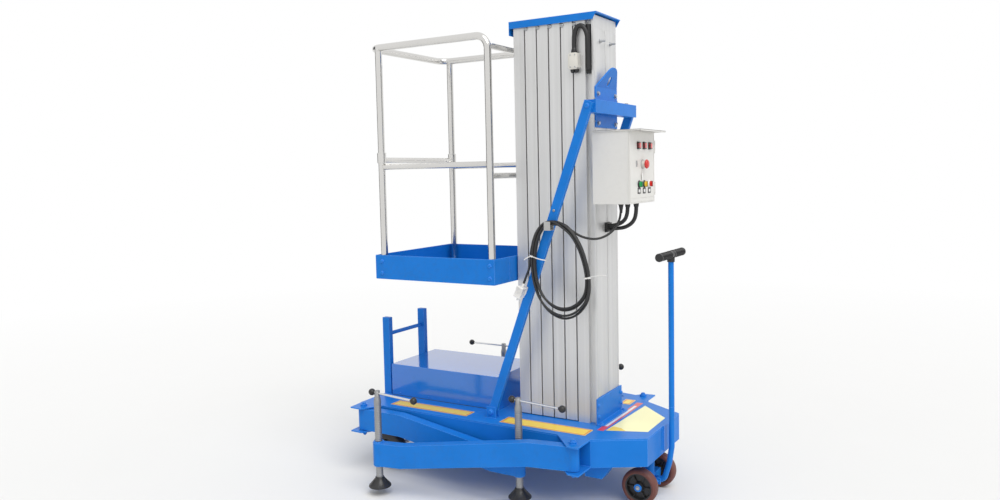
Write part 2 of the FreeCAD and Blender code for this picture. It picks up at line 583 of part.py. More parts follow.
# stations round the coil: share of the half width, share of the height down
ring = [V(mid + across * wide, coil_y, top - down * tall) for across, down in (
    (-0.37, 0.00), (-0.92, 0.10), (-1.06, 0.30), (-1.03, 0.57), (-0.88, 0.77),
    (-0.53, 0.91), (0.13, 1.01), (0.74, 0.96), (1.09, 0.77), (1.03, 0.55),
    (0.68, 0.25), (0.17, 0.075), (-0.16, 0.00))]


def rounded_loop(points):
    edges, count = [], len(points)
    ends = []
    for i in range(count):
        back, on = points[i - 1] - points[i], points[(i + 1) % count] - points[i]
        half = (math.pi - back.getAngle(on)) / 2
        reach = 0.47 * min(back.Length, on.Length)
        round_to = reach / math.tan(half)
        inward = (back.normalize() + on.normalize()).normalize()
        ends.append((points[i] + back * reach,
                     points[i] + inward * (round_to / math.cos(half) - round_to),
                     points[i] + on * reach))
    for i in range(count):
        edges.append(Part.Arc(*ends[i]).toShape())
        edges.append(Part.LineSegment(ends[i][2], ends[(i + 1) % count][0]).toShape())
    return Part.Wire(edges)


loop_path = rounded_loop(ring)
first_edge = loop_path.Edges[0]
section = Part.Wire(Part.makeCircle(s["coil_dia"] / 2,
                                    first_edge.valueAt(first_edge.FirstParameter),
                                    first_edge.tangentAt(first_edge.FirstParameter)))
coil = loop_path.makePipeShell([section], True, False)
print("coil length", round(loop_path.Length), "volume ratio",
      round(coil.Volume / (loop_path.Length * math.pi * s["coil_dia"] ** 2 / 4), 4))
node("mains_coil", feature("coil", coil))

lead = [V(cab_start + 90, -62, low), V(cab_start + 90, -64, low - 42),
        V(cab_start + 84, -86, low - 92), V(cab_start + 64, -136, low - 124),
        V(cab_start + 14, -202, low - 140), V(cab_start - 62, -252, low - 118),
        V(mid + 0.07 * wide, coil_y, top - 0.005 * tall)]
tail = [V(mid - 1.05 * wide, coil_y, top - 0.40 * tall),
        V(mid - 1.15 * wide - 6, coil_y - 3, top - 0.52 * tall),
        V(mid - 1.15 * wide - 26, coil_y - 3, top - 0.62 * tall),
        V(mid - 1.15 * wide - 44, coil_y - 1, top - 0.72 * tall)]
for label, route in (("mains_lead", lead), ("mains_tail", tail)):
    radii = cord_radii(route)
    solid = tube(route, s["cord_dia"], radii)
    length = tube_path(route, radii).Length
    print(label, "length", round(length), "radii", [round(r) for r in radii], "volume ratio",
          round(solid.Volume / (length * math.pi * s["cord_dia"] ** 2 / 4), 4))
    solid = max(solid.cut(coil).Solids, key=lambda one: one.Volume)
    node(label, feature(label + "_tube", solid))

heading = (tail[-1] - tail[-2]).normalize()
turn = FreeCAD.Rotation(V(0, 0, 1), heading)
body = Part.makeBox(s["plug_wide"], s["plug_deep"], s["plug_long"],
                    V(-s["plug_wide"] / 2, -s["plug_deep"] / 2, 0))
body = body.makeFillet(5, [e for e in body.Edges if abs(e.tangentAt(0).z) > 0.9])
for side in (-1, 1):
    body = body.fuse(Part.makeBox(s["blade_thick"], s["blade_wide"], s["blade_long"],
                                  V(side * s["blade_apart"] / 2 - s["blade_thick"] / 2,
                                    -s["blade_wide"] / 2, s["plug_long"])))
body.Placement = FreeCAD.Placement(tail[-1], turn)
node("mains_plug", feature("plug", body.removeSplitter()))

clip_x = (s["brace_foot_away"] + (s["coil_top"] - s["brace_foot_height"])
          * (s["brace_head_away"] - s["brace_foot_away"])
          / (s["brace_head_height"] - s["brace_foot_height"]))
inner = "(coil_dia + 0.6)"
over_clip = coil.common(Part.makeBox(s["clip_wide"] + 2, 200, tall,
                                     V(clip_x - s["clip_wide"] / 2 - 1, coil_y - 100,
                                       (top + bottom) / 2)))
clip_low = "(%s - seat_clear - clip_sheet)" % round(over_clip.BoundBox.ZMin, 3)
clip_out = "(brace_inner + brace_thick)"
node("cord_clip", cut(
    "clip_cut",
    block("clip_outer", "clip_wide", "%s + 2 * clip_sheet" % inner, "clip_high",
          clip_x - s["clip_wide"] / 2, "-%s - %s - 2 * clip_sheet" % (clip_out, inner),
          clip_low),
    block("clip_inner", "clip_wide + 20", inner, "clip_high",
          clip_x - s["clip_wide"] / 2 - 10, "-%s - %s - clip_sheet" % (clip_out, inner),
          clip_low + " + clip_sheet")))

# Wheels.
node("rear_axle", join(
    "rear_axle_join",
    rod("rear_axle_bar", "rear_axle_dia", "2 * (rear_side + rear_wide / 2 + washer_thick)",
        "rear_away", "-rear_side - rear_wide / 2 - washer_thick", "rear_dia / 2", "Y"),
    rod("rear_near_washer", "washer_dia", "washer_thick - seat_clear", "rear_away",
        "-rear_side - rear_wide / 2 - washer_thick", "rear_dia / 2", "Y"),
    rod("rear_far_washer", "washer_dia", "washer_thick - seat_clear", "rear_away",
        "rear_side + rear_wide / 2 + seat_clear", "rear_dia / 2", "Y")))


def wheel(tag, kind, away, sign):
    middle = "%s%s_side" % (sign, kind)
    height = "%s_dia / 2" % kind
    for label, outer, inner, width in (
            ("hub", "%s_rim_dia" % kind, "%s + 2 * run_clear"
             % ("stub_dia" if kind == "front" else "rear_axle_dia"), "%s_hub_wide" % kind),
            ("tyre", "%s_dia" % kind, "%s_rim_dia" % kind, "%s_wide" % kind)):
        node("%s_%s" % (tag, label), cut(
            "%s_%s_ring" % (tag, label),
            rod("%s_%s_round" % (tag, label), outer, width, away,
                "%s - %s / 2" % (middle, width), height, "Y"),
            rod("%s_%s_bore" % (tag, label), inner, width + " + 20", away,
                "%s - %s / 2 - 10" % (middle, width), height, "Y")))


for side, sign in (("near", "-"), ("far", "")):
    wheel("rear_" + side, "rear", "rear_away", sign)
    wheel("front_" + side, "front", "front_away", sign)

stub_out = "(front_side + front_wide / 2 + washer_thick)"
hub_in = "(front_side - front_hub_wide / 2)"
fork = [
    rod("turntable", "turntable_dia", "turntable_high", "front_away", 0,
        "chassis_low - seat_clear - turntable_high"),
    rod("king_pin", "king_dia", "chassis_low + floor_thick + 2 - front_dia / 2",
        "front_away", 0, "front_dia / 2"),
    rod("king_head", "king_head_dia", "king_head_high", "front_away", 0,
        "chassis_low + floor_thick + seat_clear"),
    block("axle_beam", "axle_beam", "2 * (%s - washer_thick)" % hub_in, "axle_beam",
          "front_away - axle_beam / 2", "washer_thick - %s" % hub_in,
          "front_dia / 2 - axle_beam / 2"),
    rod("king_column", "axle_beam + 8", "chassis_low - front_dia / 2 - turntable_high",
        "front_away", 0, "front_dia / 2"),
    rod("stub_axle", "stub_dia", "2 * " + stub_out, "front_away", "-" + stub_out,
        "front_dia / 2", "Y"),
    rod("tow_pin", "tow_pin_dia", "tow_eye_wide + 2 * fork_thick + 8", "tow_pin_away",
        "-tow_eye_wide / 2 - fork_thick - 4", "tow_pin_height", "Y")]
for side, sign in (("near", -1), ("far", 1)):
    inner = "tow_eye_wide / 2 + seat_clear"
    y = inner if sign > 0 else "-(%s) - fork_thick" % inner
    fork.append(block(side + "_cheek", "tow_pin_away - front_away + 14", "fork_thick",
                      "26", "front_away", y, "tow_pin_height - 13"))
    for tag, place_y in (("outer", "%s - washer_thick + seat_clear" % stub_out),
                         ("inner", "%s - washer_thick" % hub_in)):
        y = place_y if sign > 0 else "-(%s) - washer_thick + seat_clear" % place_y
        fork.append(rod("%s_%s_washer" % (side, tag), "washer_dia",
                        "washer_thick - seat_clear", "front_away", y,
                        "front_dia / 2", "Y"))
node("steer_fork", join("steer", *fork))

# Tow bar: an eye on the fork pin, a bent tube and a grip across its top.
pivot = V(s["tow_pin_away"], 0, s["tow_pin_height"])
tow_x = s["tow_pin_away"] + s["tow_lean"]
bar_path = [pivot, pivot + V(28, 0, 12), V(tow_x - 12, 0, s["tow_pin_height"] + 88),
            V(tow_x, 0, s["tow_pin_height"] + 165), V(tow_x, 0, s["tow_top"])]
bar_tube = tube(bar_path, s["tow_dia"], [s["tow_bend"] / 2, s["tow_bend"], s["tow_bend"]])
half = s["tow_eye_wide"] / 2
eye_out = Part.makeCylinder(s["tow_eye_dia"] / 2, 2 * half, pivot - V(0, half, 0), V(0, 1, 0))
eye_in = Part.makeCylinder(s["tow_pin_dia"] / 2 + s["run_clear"], 4 * half,
                           pivot - V(0, 2 * half, 0), V(0, 1, 0))
node("tow_bar", feature("tow", eye_out.fuse(bar_tube).cut(eye_in).removeSplitter()))
node("tow_grip", cut(
    "grip_cut", rod("grip_bar", "grip_dia", "2 * grip_half", "tow_pin_away + tow_lean",
                    "-grip_half", "tow_top + grip_rise", "Y"),
    rod("grip_seat", "tow_dia", "grip_dia", "tow_pin_away + tow_lean", 0,
        "tow_top - grip_dia")))


# Outrigger arms: each swings on its pin and ends in the nut of a jack screw.
def arm(tag, kind, where, sign, slip, yaw):
    reach, level, slope = kind + "_reach", kind + "_level", kind + "_slope_end"

    def side_view(inset, near_end, far_end):
        a, b = arm_top + " - %s" % inset, arm_low + " + %s" % inset
        return [(near_end, b), (level, b), (slope, b + " - arm_drop"),
                (far_end, b + " - arm_drop"), (far_end, a + " - arm_drop"),
                (slope, a + " - arm_drop"), (level, a), (near_end, a)]

    hub_z, end_z = arm_low, arm_low + " - arm_drop"
    skin = outline(tag + "_skin", "XZ", side_view("0", "0", reach), "arm_wide",
                   0, "arm_wide / 2", 0)
    hollow = outline(tag + "_hollow", "XZ",
                     side_view("arm_wall", "hub_dia / 2", reach + " - hub_dia / 2"),
                     "arm_wide - 2 * arm_wall", 0, "arm_wide / 2 - arm_wall", 0)
    solid = cut(
        tag + "_cut",
        join(tag + "_join", cut(tag + "_box", skin, hollow),
             rod(tag + "_hub", "hub_dia", arm_high, 0, 0, hub_z),
             rod(tag + "_nut", "hub_dia", arm_high, reach, 0, end_z)),
        rod(tag + "_pin_bore", "pin_dia + 2 * run_clear", arm_high + " + 20", 0, 0,
            hub_z + " - 10"),
        rod(tag + "_screw_bore", "screw_dia + 2 * run_clear", arm_high + " + 20", reach, 0,
            end_z + " - 10"))
    screw = join(
        tag + "_screw_join",
        rod(tag + "_screw", "screw_dia", "screw_top - foot_low - foot_high + 6", reach, 0,
            "foot_low + foot_high - 6"),
        rod(tag + "_neck", "neck_dia", "neck_top - screw_top + 2", reach, 0,
            "screw_top - 2"))
    tee = join(
        tag + "_tee",
        rod(tag + "_handle", "handle_dia", "handle_span", "-%s" % slip, 0, 0, "X"),
        ball(tag + "_ball_a", "ball_dia", "-%s" % slip, 0, 0),
        ball(tag + "_ball_b", "ball_dia", "handle_span - %s" % slip, 0, 0))
    tee.Placement = FreeCAD.Placement(V(), FreeCAD.Rotation(V(0, 0, 1), yaw))
    bind(tee, Placement__Base__x=reach, Placement__Base__z="handle_height")
    foot = cut(
        tag + "_foot_cut",
        join(tag + "_foot_join",
             rod(tag + "_foot_rim", "foot_dia", "foot_high / 6", reach, 0, "foot_low"),
             cone(tag + "_foot_cone", "foot_dia", "foot_neck_dia", "foot_high * 5 / 6",
                  reach, 0, "foot_low + foot_high / 6")),
        rod(tag + "_foot_bore", "screw_dia", "foot_high", reach, 0,
            "foot_low + foot_high - 6"))
    away, side = where + "_pin_away", "%s%s_pin_side" % (sign, where)
    for label, obj in (("arm_" + tag, solid), ("screw_" + tag, join(tag + "_screw_tee",
                                                                   screw, tee)),
                       ("foot_" + tag, foot)):
        # a front arm points to -X and opens outwards, a rear arm to +X
        outward = 1 if sign == "" else -1
        turn = ("180 - %s_turn * %d" if kind == "outer" else "%s_turn * %d") % (kind, outward)
        obj.Placement = FreeCAD.Placement(V(), FreeCAD.Rotation(V(0, 0, 1), 1))
        bind(obj, Placement__Rotation__Angle=turn)
        place(obj, away, side, 0)
        node(label, obj)


arm("front_near", "outer", "front", "-", "(handle_span - near_slip)",
    -s["outer_turn"] + s["handle_turn"] * -1)
arm("rear_near", "inner", "rear", "-", "near_slip", s["inner_turn"] - s["handle_turn"])
arm("front_far", "outer", "front", "", "(handle_span - rear_far_slip)", s["outer_turn"])
arm("rear_far", "inner", "rear", "", "front_far_slip", -s["inner_turn"])

# Basket.
node("basket_tray", cut(
    "tray_cut",
    block("tray_outer", "tray_right - tray_left", "2 * tray_half", "tray_high",
          "tray_left", "-tray_half", "tray_low"),
    block("tray_inner", "tray_right - tray_left - 2 * tray_wall",
          "2 * (tray_half - tray_wall)", "tray_high", "tray_left + tray_wall",
          "tray_wall - tray_half", "tray_low + tray_wall")))
rail_y = s["tray_half"] - s["tray_wall"] - s["rail_dia"] / 2 - 1
floor_z = s["tray_low"] + s["tray_wall"]
hoop = [V(s["post_right"], -rail_y, floor_z), V(s["post_right"], -rail_y, s["rail_height"]),
        V(s["rail_left"], -rail_y, s["rail_height"]), V(s["rail_left"], rail_y, s["rail_height"]),
        V(s["post_right"], rail_y, s["rail_height"]), V(s["post_right"], rail_y, floor_z)]
rails = tube(hoop, s["rail_dia"], [s["rail_bend"]] * 4)
bars = []
mid_z = s["rail_height"] - s["mid_drop"]
for y in (-rail_y, rail_y):
    bars.append(Part.makeCylinder(s["rail_dia"] / 2, s["rail_height"] - floor_z,
                                  V(s["post_left"], y, floor_z)))
    bars.append(Part.makeCylinder(s["mid_dia"] / 2, s["post_right"] - s["post_left"],
                                  V(s["post_left"], y, mid_z), V(1, 0, 0)))
for z in (s["rail_height"] - s["end_top_drop"], s["rail_height"] - s["end_mid_drop"]):
    bars.append(Part.makeCylinder(s["mid_dia"] / 2, 2 * rail_y,
                                  V(s["post_right"], -rail_y, z), V(0, 1, 0)))
node("basket_rails", feature("rails", rails.fuse(bars)))
post = "(tray_half - tray_wall - rail_dia / 2 - 1)"
entry = [rod("entry_tube", "mid_dia", "2 * " + post, "post_left", "-" + post,
             "rail_height - mid_drop + mid_dia + 5", "Y")]
bores = []
for side, sign in (("near", "-"), ("far", "")):
    # the collar rides just above the fixed side rail
    base = "rail_height - mid_drop + mid_dia / 2 + 5"
    entry.append(rod(side + "_collar", "collar_dia", "collar_high", "post_left",
                     sign + post, base))
    bores.append(rod(side + "_collar_bore", "rail_dia + 2 * run_clear", "collar_high + 20",
                     "post_left", sign + post, base + " - 10"))
node("entry_bar", cut("entry_cut", join("entry_join", *entry), *bores))
saddle = "post_right + mid_dia / 2 + seat_clear"
carrier = [block("carrier_strip", "mast_front - tray_right", "2 * carrier_half",
                 "rail_height - end_top_drop + carrier_high / 2 - tray_low", "tray_right",
                 "-carrier_half", "tray_low")]
for name in ("end_top", "end_mid"):
    carrier.append(block(name + "_saddle", "mast_front - (%s)" % saddle, "2 * carrier_half",
                         "carrier_high", saddle, "-carrier_half",
                         "rail_height - %s_drop - carrier_high / 2" % name))
node("basket_carrier", join("carrier", *carrier))

doc.recompute()
bad = []
for obj in doc.Objects:
    if any(flag in obj.State for flag in ("Invalid", "Error")):
        bad.append(obj.Name)
for name, obj in nodes:
    if obj.Shape.isNull() or not obj.Shape.isValid() or not obj.Shape.Solids:
        bad.append(name)
if bad:
    raise RuntimeError("bad shapes: " + ", ".join(bad))

os.makedirs("parts", exist_ok=True)
for name, obj in nodes:
    obj.Shape.exportStep("parts/%s.step" % name)
box = FreeCAD.BoundBox()
for name, obj in nodes:
    box.add(obj.Shape.BoundBox)
print(len(nodes), "nodes", box)
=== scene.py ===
import math

import bmesh
import bpy
from mathutils import Matrix, Vector


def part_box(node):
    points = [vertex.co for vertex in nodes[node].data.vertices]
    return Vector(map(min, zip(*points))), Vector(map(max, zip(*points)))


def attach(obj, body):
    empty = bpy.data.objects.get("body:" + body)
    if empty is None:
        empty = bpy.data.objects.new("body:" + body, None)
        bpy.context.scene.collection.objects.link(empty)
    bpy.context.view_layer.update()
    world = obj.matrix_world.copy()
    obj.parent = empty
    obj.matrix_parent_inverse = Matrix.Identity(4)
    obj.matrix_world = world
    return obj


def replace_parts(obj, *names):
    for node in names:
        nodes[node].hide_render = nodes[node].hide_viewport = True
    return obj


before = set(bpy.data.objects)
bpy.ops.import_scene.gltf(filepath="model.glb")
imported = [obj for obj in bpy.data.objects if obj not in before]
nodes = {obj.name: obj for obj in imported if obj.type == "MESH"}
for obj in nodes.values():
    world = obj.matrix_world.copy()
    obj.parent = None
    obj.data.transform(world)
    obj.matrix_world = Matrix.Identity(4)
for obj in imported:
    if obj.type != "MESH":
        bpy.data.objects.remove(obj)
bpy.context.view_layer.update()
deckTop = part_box("deck_plate")[0].z + 0.006
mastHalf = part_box("stage_0")[1].y
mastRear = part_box("stage_0")[1].x
sides = (-1, 1)


def newGroup(name, inputs, outputs):
    group = bpy.data.node_groups.new(name, "ShaderNodeTree")
    for label, kind, value in inputs:
        socket = group.interface.new_socket(label, in_out="INPUT",
                                            socket_type="NodeSocket" + kind)
        socket.default_value = value
    for label in outputs:
        group.interface.new_socket(label, in_out="OUTPUT", socket_type="NodeSocketFloat")
    return group, group.nodes.new("NodeGroupInput").outputs, group.nodes.new("NodeGroupOutput")


def setSocket(tree, socket, source):
    if isinstance(source, bpy.types.NodeSocket):
        tree.links.new(source, socket)
    else:
        socket.default_value = source


def addNode(tree, kind, links=(), **props):
    node = tree.nodes.new("ShaderNode" + kind)
    for prop, value in props.items():
        setattr(node, prop, value)
    for socket, source in dict(links).items():
        setSocket(tree, node.inputs[socket], source)
    return node


def mathNode(tree, operation, a, b=0.0, clamp=False):
    return addNode(tree, "Math", {0: a, 1: b}, operation=operation, use_clamp=clamp).outputs[0]


def times(tree, a, b, clamp=False):
    return mathNode(tree, "MULTIPLY", a, b, clamp)


def plus(tree, a, b, clamp=False):
    return mathNode(tree, "ADD", a, b, clamp)


def mixColour(tree, factor, a, b):
    node = addNode(tree, "Mix", data_type="RGBA")
    for socket, source in ((0, factor), (6, a), (7, b)):
        setSocket(tree, node.inputs[socket], source)
    return node.outputs[2]


def twoTones(tree, factor, colour, spread, lift=0.0):
    darker = tuple(c * (1 - spread) for c in colour) + (1,)
    lighter = tuple(min(1, c * (1 + spread) + lift) for c in colour) + (1,)
    return mixColour(tree, factor, darker, lighter)


def ramp(tree, source, low, high):
    return addNode(tree, "MapRange", {"Value": source, "From Min": low, "From Max": high},
                   clamp=True).outputs["Result"]


def noise(tree, where, scale, detail=3.0, roughness=0.55):
    return addNode(tree, "TexNoise", {"Vector": where, "Scale": scale, "Detail": detail,
                                      "Roughness": roughness}).outputs["Fac"]


def placeOn(tree):
    return addNode(tree, "TexCoord").outputs["Object"]


# where each mask of the shared groups starts and is full
maskLevels = {"edge": (0.52, 0.62), "broken": (0.50, 0.62), "chips": (0.70, 0.74),
              "chipShare": 0.35, "facingUp": (0.55, 0.95), "patches": (0.35, 0.75),
              "grit": (0.4, 0.7), "lowest": 0.02}


def makeEdgeWear():
    tree, given, out = newGroup(
        "edgeWear", [("Amount", "Float", 0.5), ("Scale", "Float", 40.0)], ["Mask"])
    where = placeOn(tree)
    sharp = ramp(tree, addNode(tree, "NewGeometry").outputs["Pointiness"], *maskLevels["edge"])
    broken = ramp(tree, noise(tree, where, given["Scale"], 5.0), *maskLevels["broken"])
    chips = ramp(tree, noise(tree, where, times(tree, given["Scale"], 3.0), 4.0),
                 *maskLevels["chips"])
    both = plus(tree, times(tree, sharp, broken), times(tree, chips, maskLevels["chipShare"]),
                True)
    tree.links.new(times(tree, both, given["Amount"], True), out.inputs["Mask"])
    return tree


def makeDust():
    tree, given, out = newGroup(
        "settledDust", [("Amount", "Float", 0.4), ("Low", "Float", 0.45)], ["Mask"])
    where = placeOn(tree)
    normal = addNode(tree, "NewGeometry").outputs["Normal"]
    up = ramp(tree, addNode(tree, "SeparateXYZ", {0: normal}).outputs[2],
              *maskLevels["facingUp"])
    height = addNode(tree, "SeparateXYZ", {0: where}).outputs[2]
    low = mathNode(tree, "SUBTRACT", 1.0, ramp(tree, height, maskLevels["lowest"],
                                               given["Low"]), True)
    patchy = ramp(tree, noise(tree, where, 9.0, 6.0, 0.65), *maskLevels["patches"])
    grit = ramp(tree, noise(tree, where, 180.0, 2.0), *maskLevels["grit"])
    total = times(tree, plus(tree, times(tree, up, 0.6), times(tree, low, 0.5)),
                  plus(tree, patchy, times(tree, grit, 0.25)))
    tree.links.new(times(tree, total, given["Amount"], True), out.inputs["Mask"])
    return tree


def makeGrain():
    tree, given, out = newGroup(
        "drawnGrain", [("Stretch", "Vector", (1.0, 1.0, 0.01)), ("Scale", "Float", 600.0)],
        ["Lines", "Broad"])
    stretched = addNode(tree, "VectorMath", {0: placeOn(tree), 1: given["Stretch"]},
                        operation="MULTIPLY").outputs[0]
    tree.links.new(noise(tree, stretched, given["Scale"], 2.0), out.inputs["Lines"])
    tree.links.new(noise(tree, stretched, times(tree, given["Scale"], 0.06), 3.0),
                   out.inputs["Broad"])
    return tree


def makeOrangePeel():
    tree, given, out = newGroup("orangePeel", [("Scale", "Float", 220.0)],
                                ["Height", "Clouds"])
    where = placeOn(tree)
    tree.links.new(noise(tree, where, given["Scale"], 2.0), out.inputs["Height"])
    tree.links.new(noise(tree, where, 5.0, 4.0, 0.6), out.inputs["Clouds"])
    return tree


edgeWear, settledDust = makeEdgeWear(), makeDust()
drawnGrain, orangePeel = makeGrain(), makeOrangePeel()


def useGroup(tree, group, **values):
    node = tree.nodes.new("ShaderNodeGroup")
    node.node_tree = group
    for label, value in values.items():
        node.inputs[label].default_value = value
    return node.outputs


def startMaterial(name):
    material = bpy.data.materials.new(name)
    material.use_nodes = True
    return material, material.node_tree, material.node_tree.nodes["Principled BSDF"]


def softNormal(tree, radius):
    return addNode(tree, "Bevel", {"Radius": radius}, samples=4).outputs[0]


def addBump(tree, shader, height, strength, distance, rounding=0.0):
    bump = addNode(tree, "Bump", {"Height": height, "Strength": strength, "Distance": distance})
    if rounding:
        tree.links.new(softNormal(tree, rounding), bump.inputs["Normal"])
    tree.links.new(bump.outputs[0], shader.inputs["Normal"])


# dust that lies on paint, metal and plastic
dustColour = {"paint": (0.36, 0.34, 0.31, 1), "metal": (0.33, 0.32, 0.30, 1),
              "plastic": (0.34, 0.32, 0.30, 1)}
# painted highlight along edges: bevel radius, range of the normal's turn, how much paler, and
# the lift
edgeHighlightShape = {"radius": 0.0035, "turned": (0.985, 0.90), "paler": 1.5, "lift": 0.10}


def paintedEdgeHighlight(tree, base, colour, amount):
    # painted highlight along each edge: paler where the rounded normal leaves the flat one
    flat = addNode(tree, "NewGeometry").outputs["Normal"]
    turned = addNode(tree, "VectorMath", {0: softNormal(tree, edgeHighlightShape["radius"]), 1: flat},
                     operation="DOT_PRODUCT").outputs["Value"]
    pale = tuple(min(1, c * edgeHighlightShape["paler"] + edgeHighlightShape["lift"]) for c in colour) + (1,)
    return mixColour(tree, times(tree, ramp(tree, turned, *edgeHighlightShape["turned"]), amount), base,
                     pale)


def paintMaterial(name, colour, under, rough=0.3, wear=0.5, dust=0.4, coat=0.4, peel=0.12,
                  rounding=0.0015, cloudy=0.10, specular=0.5, edge=0.0):
    material, tree, shader = startMaterial(name)
    skin = useGroup(tree, orangePeel, Scale=260.0)
    worn = useGroup(tree, edgeWear, Amount=wear, Scale=45.0)[0]
    dusty = useGroup(tree, settledDust, Amount=dust)[0]
    base = twoTones(tree, ramp(tree, skin["Clouds"], 0.3, 0.7), colour, cloudy, 0.004)
    # edge sets how strong the painted highlight along the edges is
    if edge:
        base = paintedEdgeHighlight(tree, base, colour, edge)
    base = mixColour(tree, worn, base, tuple(under) + (1,))
    base = mixColour(tree, dusty, base, dustColour["paint"])
    tree.links.new(base, shader.inputs["Base Color"])
    roughness = plus(tree, times(tree, dusty, 0.5), times(tree, worn, 0.2))
    roughness = plus(tree, roughness, times(tree, skin["Clouds"], 0.12))
    tree.links.new(plus(tree, roughness, rough - 0.06, True), shader.inputs["Roughness"])
    shader.inputs["Specular IOR Level"].default_value = specular
    shader.inputs["Coat Weight"].default_value = coat
    shader.inputs["Coat Roughness"].default_value = 0.12
    addBump(tree, shader, mathNode(tree, "SUBTRACT", skin["Height"], worn), peel, 0.0006,
            rounding)
    return material


def metalMaterial(name, colour, rough, stretch=None, scale=500.0, lines=0.12, tone=0.10,
                  bump=0.05, dust=0.0, metallic=1.0, rounding=0.0):
    material, tree, shader = startMaterial(name)
    if stretch:
        fine, broad = useGroup(tree, drawnGrain, Stretch=stretch, Scale=scale)
    else:
        fine, broad = useGroup(tree, orangePeel, Scale=scale)
    base = twoTones(tree, ramp(tree, broad, 0.3, 0.7), colour, tone)
    base = mixColour(tree, times(tree, fine, tone), base, (1, 1, 1, 1))
    roughness = plus(tree, times(tree, fine, lines), times(tree, broad, lines * 0.6))
    if dust:
        dusty = useGroup(tree, settledDust, Amount=dust)[0]
        base = mixColour(tree, dusty, base, dustColour["metal"])
        roughness = plus(tree, roughness, times(tree, dusty, 0.4))
    tree.links.new(base, shader.inputs["Base Color"])
    tree.links.new(plus(tree, roughness, rough - lines * 0.5, True),
                   shader.inputs["Roughness"])
    shader.inputs["Metallic"].default_value = metallic
    addBump(tree, shader, fine, bump, 0.0004, rounding)
    return material


def plasticMaterial(name, colour, rough=0.35, coat=0.0, peel=0.08, dust=0.15, glow=0.0,
                    tone=0.06, rounding=0.0):
    material, tree, shader = startMaterial(name)
    skin = useGroup(tree, orangePeel, Scale=400.0)
    dusty = useGroup(tree, settledDust, Amount=dust)[0]
    base = twoTones(tree, skin["Clouds"], colour, tone, 0.003)
    base = mixColour(tree, dusty, base, dustColour["plastic"])
    tree.links.new(base, shader.inputs["Base Color"])
    roughness = plus(tree, times(tree, skin["Height"], 0.14), times(tree, dusty, 0.4))
    tree.links.new(plus(tree, roughness, rough - 0.07, True), shader.inputs["Roughness"])
    shader.inputs["Coat Weight"].default_value = coat
    shader.inputs["Coat Roughness"].default_value = 0.08
    if glow:
        tree.links.new(base, shader.inputs["Emission Color"])
        shader.inputs["Emission Strength"].default_value = glow
    addBump(tree, shader, skin["Height"], peel, 0.0005, rounding)
    return material


# edge= on bluePaint and glossyBlue sets the strength of the painted highlight along edges
bluePaint = paintMaterial("bluePaint", (0.006, 0.181, 0.63), (0.04, 0.10, 0.25), rough=0.32,
                          wear=0.10, dust=0.04, coat=0.02, cloudy=0.05, specular=0.15,
                          edge=0.7)
glossyBlue = paintMaterial("glossyBlue", (0.010, 0.18, 0.63), (0.04, 0.10, 0.25), rough=0.12,
                           wear=0.05, dust=0.03, coat=0.9, peel=0.05, cloudy=0.03, edge=0.5)
creamPaint = paintMaterial("creamPaint", (0.72, 0.71, 0.68), (0.45, 0.44, 0.42), rough=0.40,
                           wear=0.04, dust=0.02, coat=0.10, peel=0.14, cloudy=0.015)
steelTube = metalMaterial("polishedTube", (0.66, 0.65, 0.63), 0.13, (1.0, 1.0, 1.0), 30.0,
                          lines=0.06, tone=0.05, bump=0.01)
mastAlloy = metalMaterial("anodisedProfile", (0.66, 0.66, 0.655), 0.38, (1.0, 1.0, 0.004),
                          900.0, lines=0.16, tone=0.06, bump=0.08, metallic=0.60,
                          rounding=0.001)
zincSteel = metalMaterial("zincSteel", (0.42, 0.43, 0.44), 0.34, None, 420.0, lines=0.16,
                          tone=0.12, bump=0.06, dust=0.08)
chromeSteel = metalMaterial("chromeSteel", (0.66, 0.67, 0.68), 0.12, None, 300.0, lines=0.06,
                            tone=0.03, bump=0.02)
threadSteel = metalMaterial("threadSteel", (0.27, 0.275, 0.28), 0.40, lines=0.2, tone=0.16,
                            bump=0.12, dust=0.08, metallic=0.85)
blackRubber = plasticMaterial("blackRubber", (0.018, 0.018, 0.019), 0.5, peel=0.1, dust=0.08)
blackPlastic = plasticMaterial("blackPlastic", (0.014, 0.014, 0.015), 0.34, peel=0.1,
                               dust=0.06, rounding=0.0008)
blackCable = plasticMaterial("blackCable", (0.014, 0.014, 0.015), 0.42, peel=0.06, dust=0.03)
treadRed = plasticMaterial("treadRed", (0.13, 0.032, 0.022), 0.55, peel=0.2, dust=0.2,
                           tone=0.2)
treadBlack = plasticMaterial("treadBlack", (0.022, 0.021, 0.021), 0.6, peel=0.2, dust=0.2)
redLens = plasticMaterial("redLens", (0.62, 0.015, 0.012), 0.2, coat=0.8, peel=0.02,
                          glow=0.12, dust=0.0)
redPlastic = plasticMaterial("redPlastic", (0.62, 0.02, 0.015), 0.28, coat=0.4, dust=0.0)
greenPlastic = plasticMaterial("greenPlastic", (0.02, 0.36, 0.10), 0.28, coat=0.4, dust=0.0)
yellowPlastic = plasticMaterial("yellowPlastic", (0.80, 0.52, 0.03), 0.3, coat=0.4, dust=0.0)
whitePlastic = plasticMaterial("whitePlastic", (0.80, 0.79, 0.77), 0.32, coat=0.2, dust=0.0)
creamPlastic = plasticMaterial("creamPlastic", (0.70, 0.68, 0.62), 0.34, coat=0.1, dust=0.0)
greyPlastic = plasticMaterial("greyPlastic", (0.42, 0.42, 0.41), 0.4, dust=0.0)
labelYellow = plasticMaterial("labelYellow", (0.94, 0.66, 0.035), 0.3, coat=0.3, dust=0.03,
                              tone=0.04)
labelPale = plasticMaterial("labelPale", (0.98, 0.93, 0.48), 0.3, coat=0.3, dust=0.03,
                            tone=0.03)
labelRed = plasticMaterial("labelRed", (0.70, 0.045, 0.03), 0.3, coat=0.3, dust=0.03)
labelWhite = plasticMaterial("labelWhite", (0.80, 0.79, 0.76), 0.32, coat=0.3, dust=0.03)
blueFloor = paintMaterial("blueFloor", (0.014, 0.11, 0.42), (0.04, 0.07, 0.16), rough=0.36,
                          wear=0.25, dust=0.10, coat=0.2)

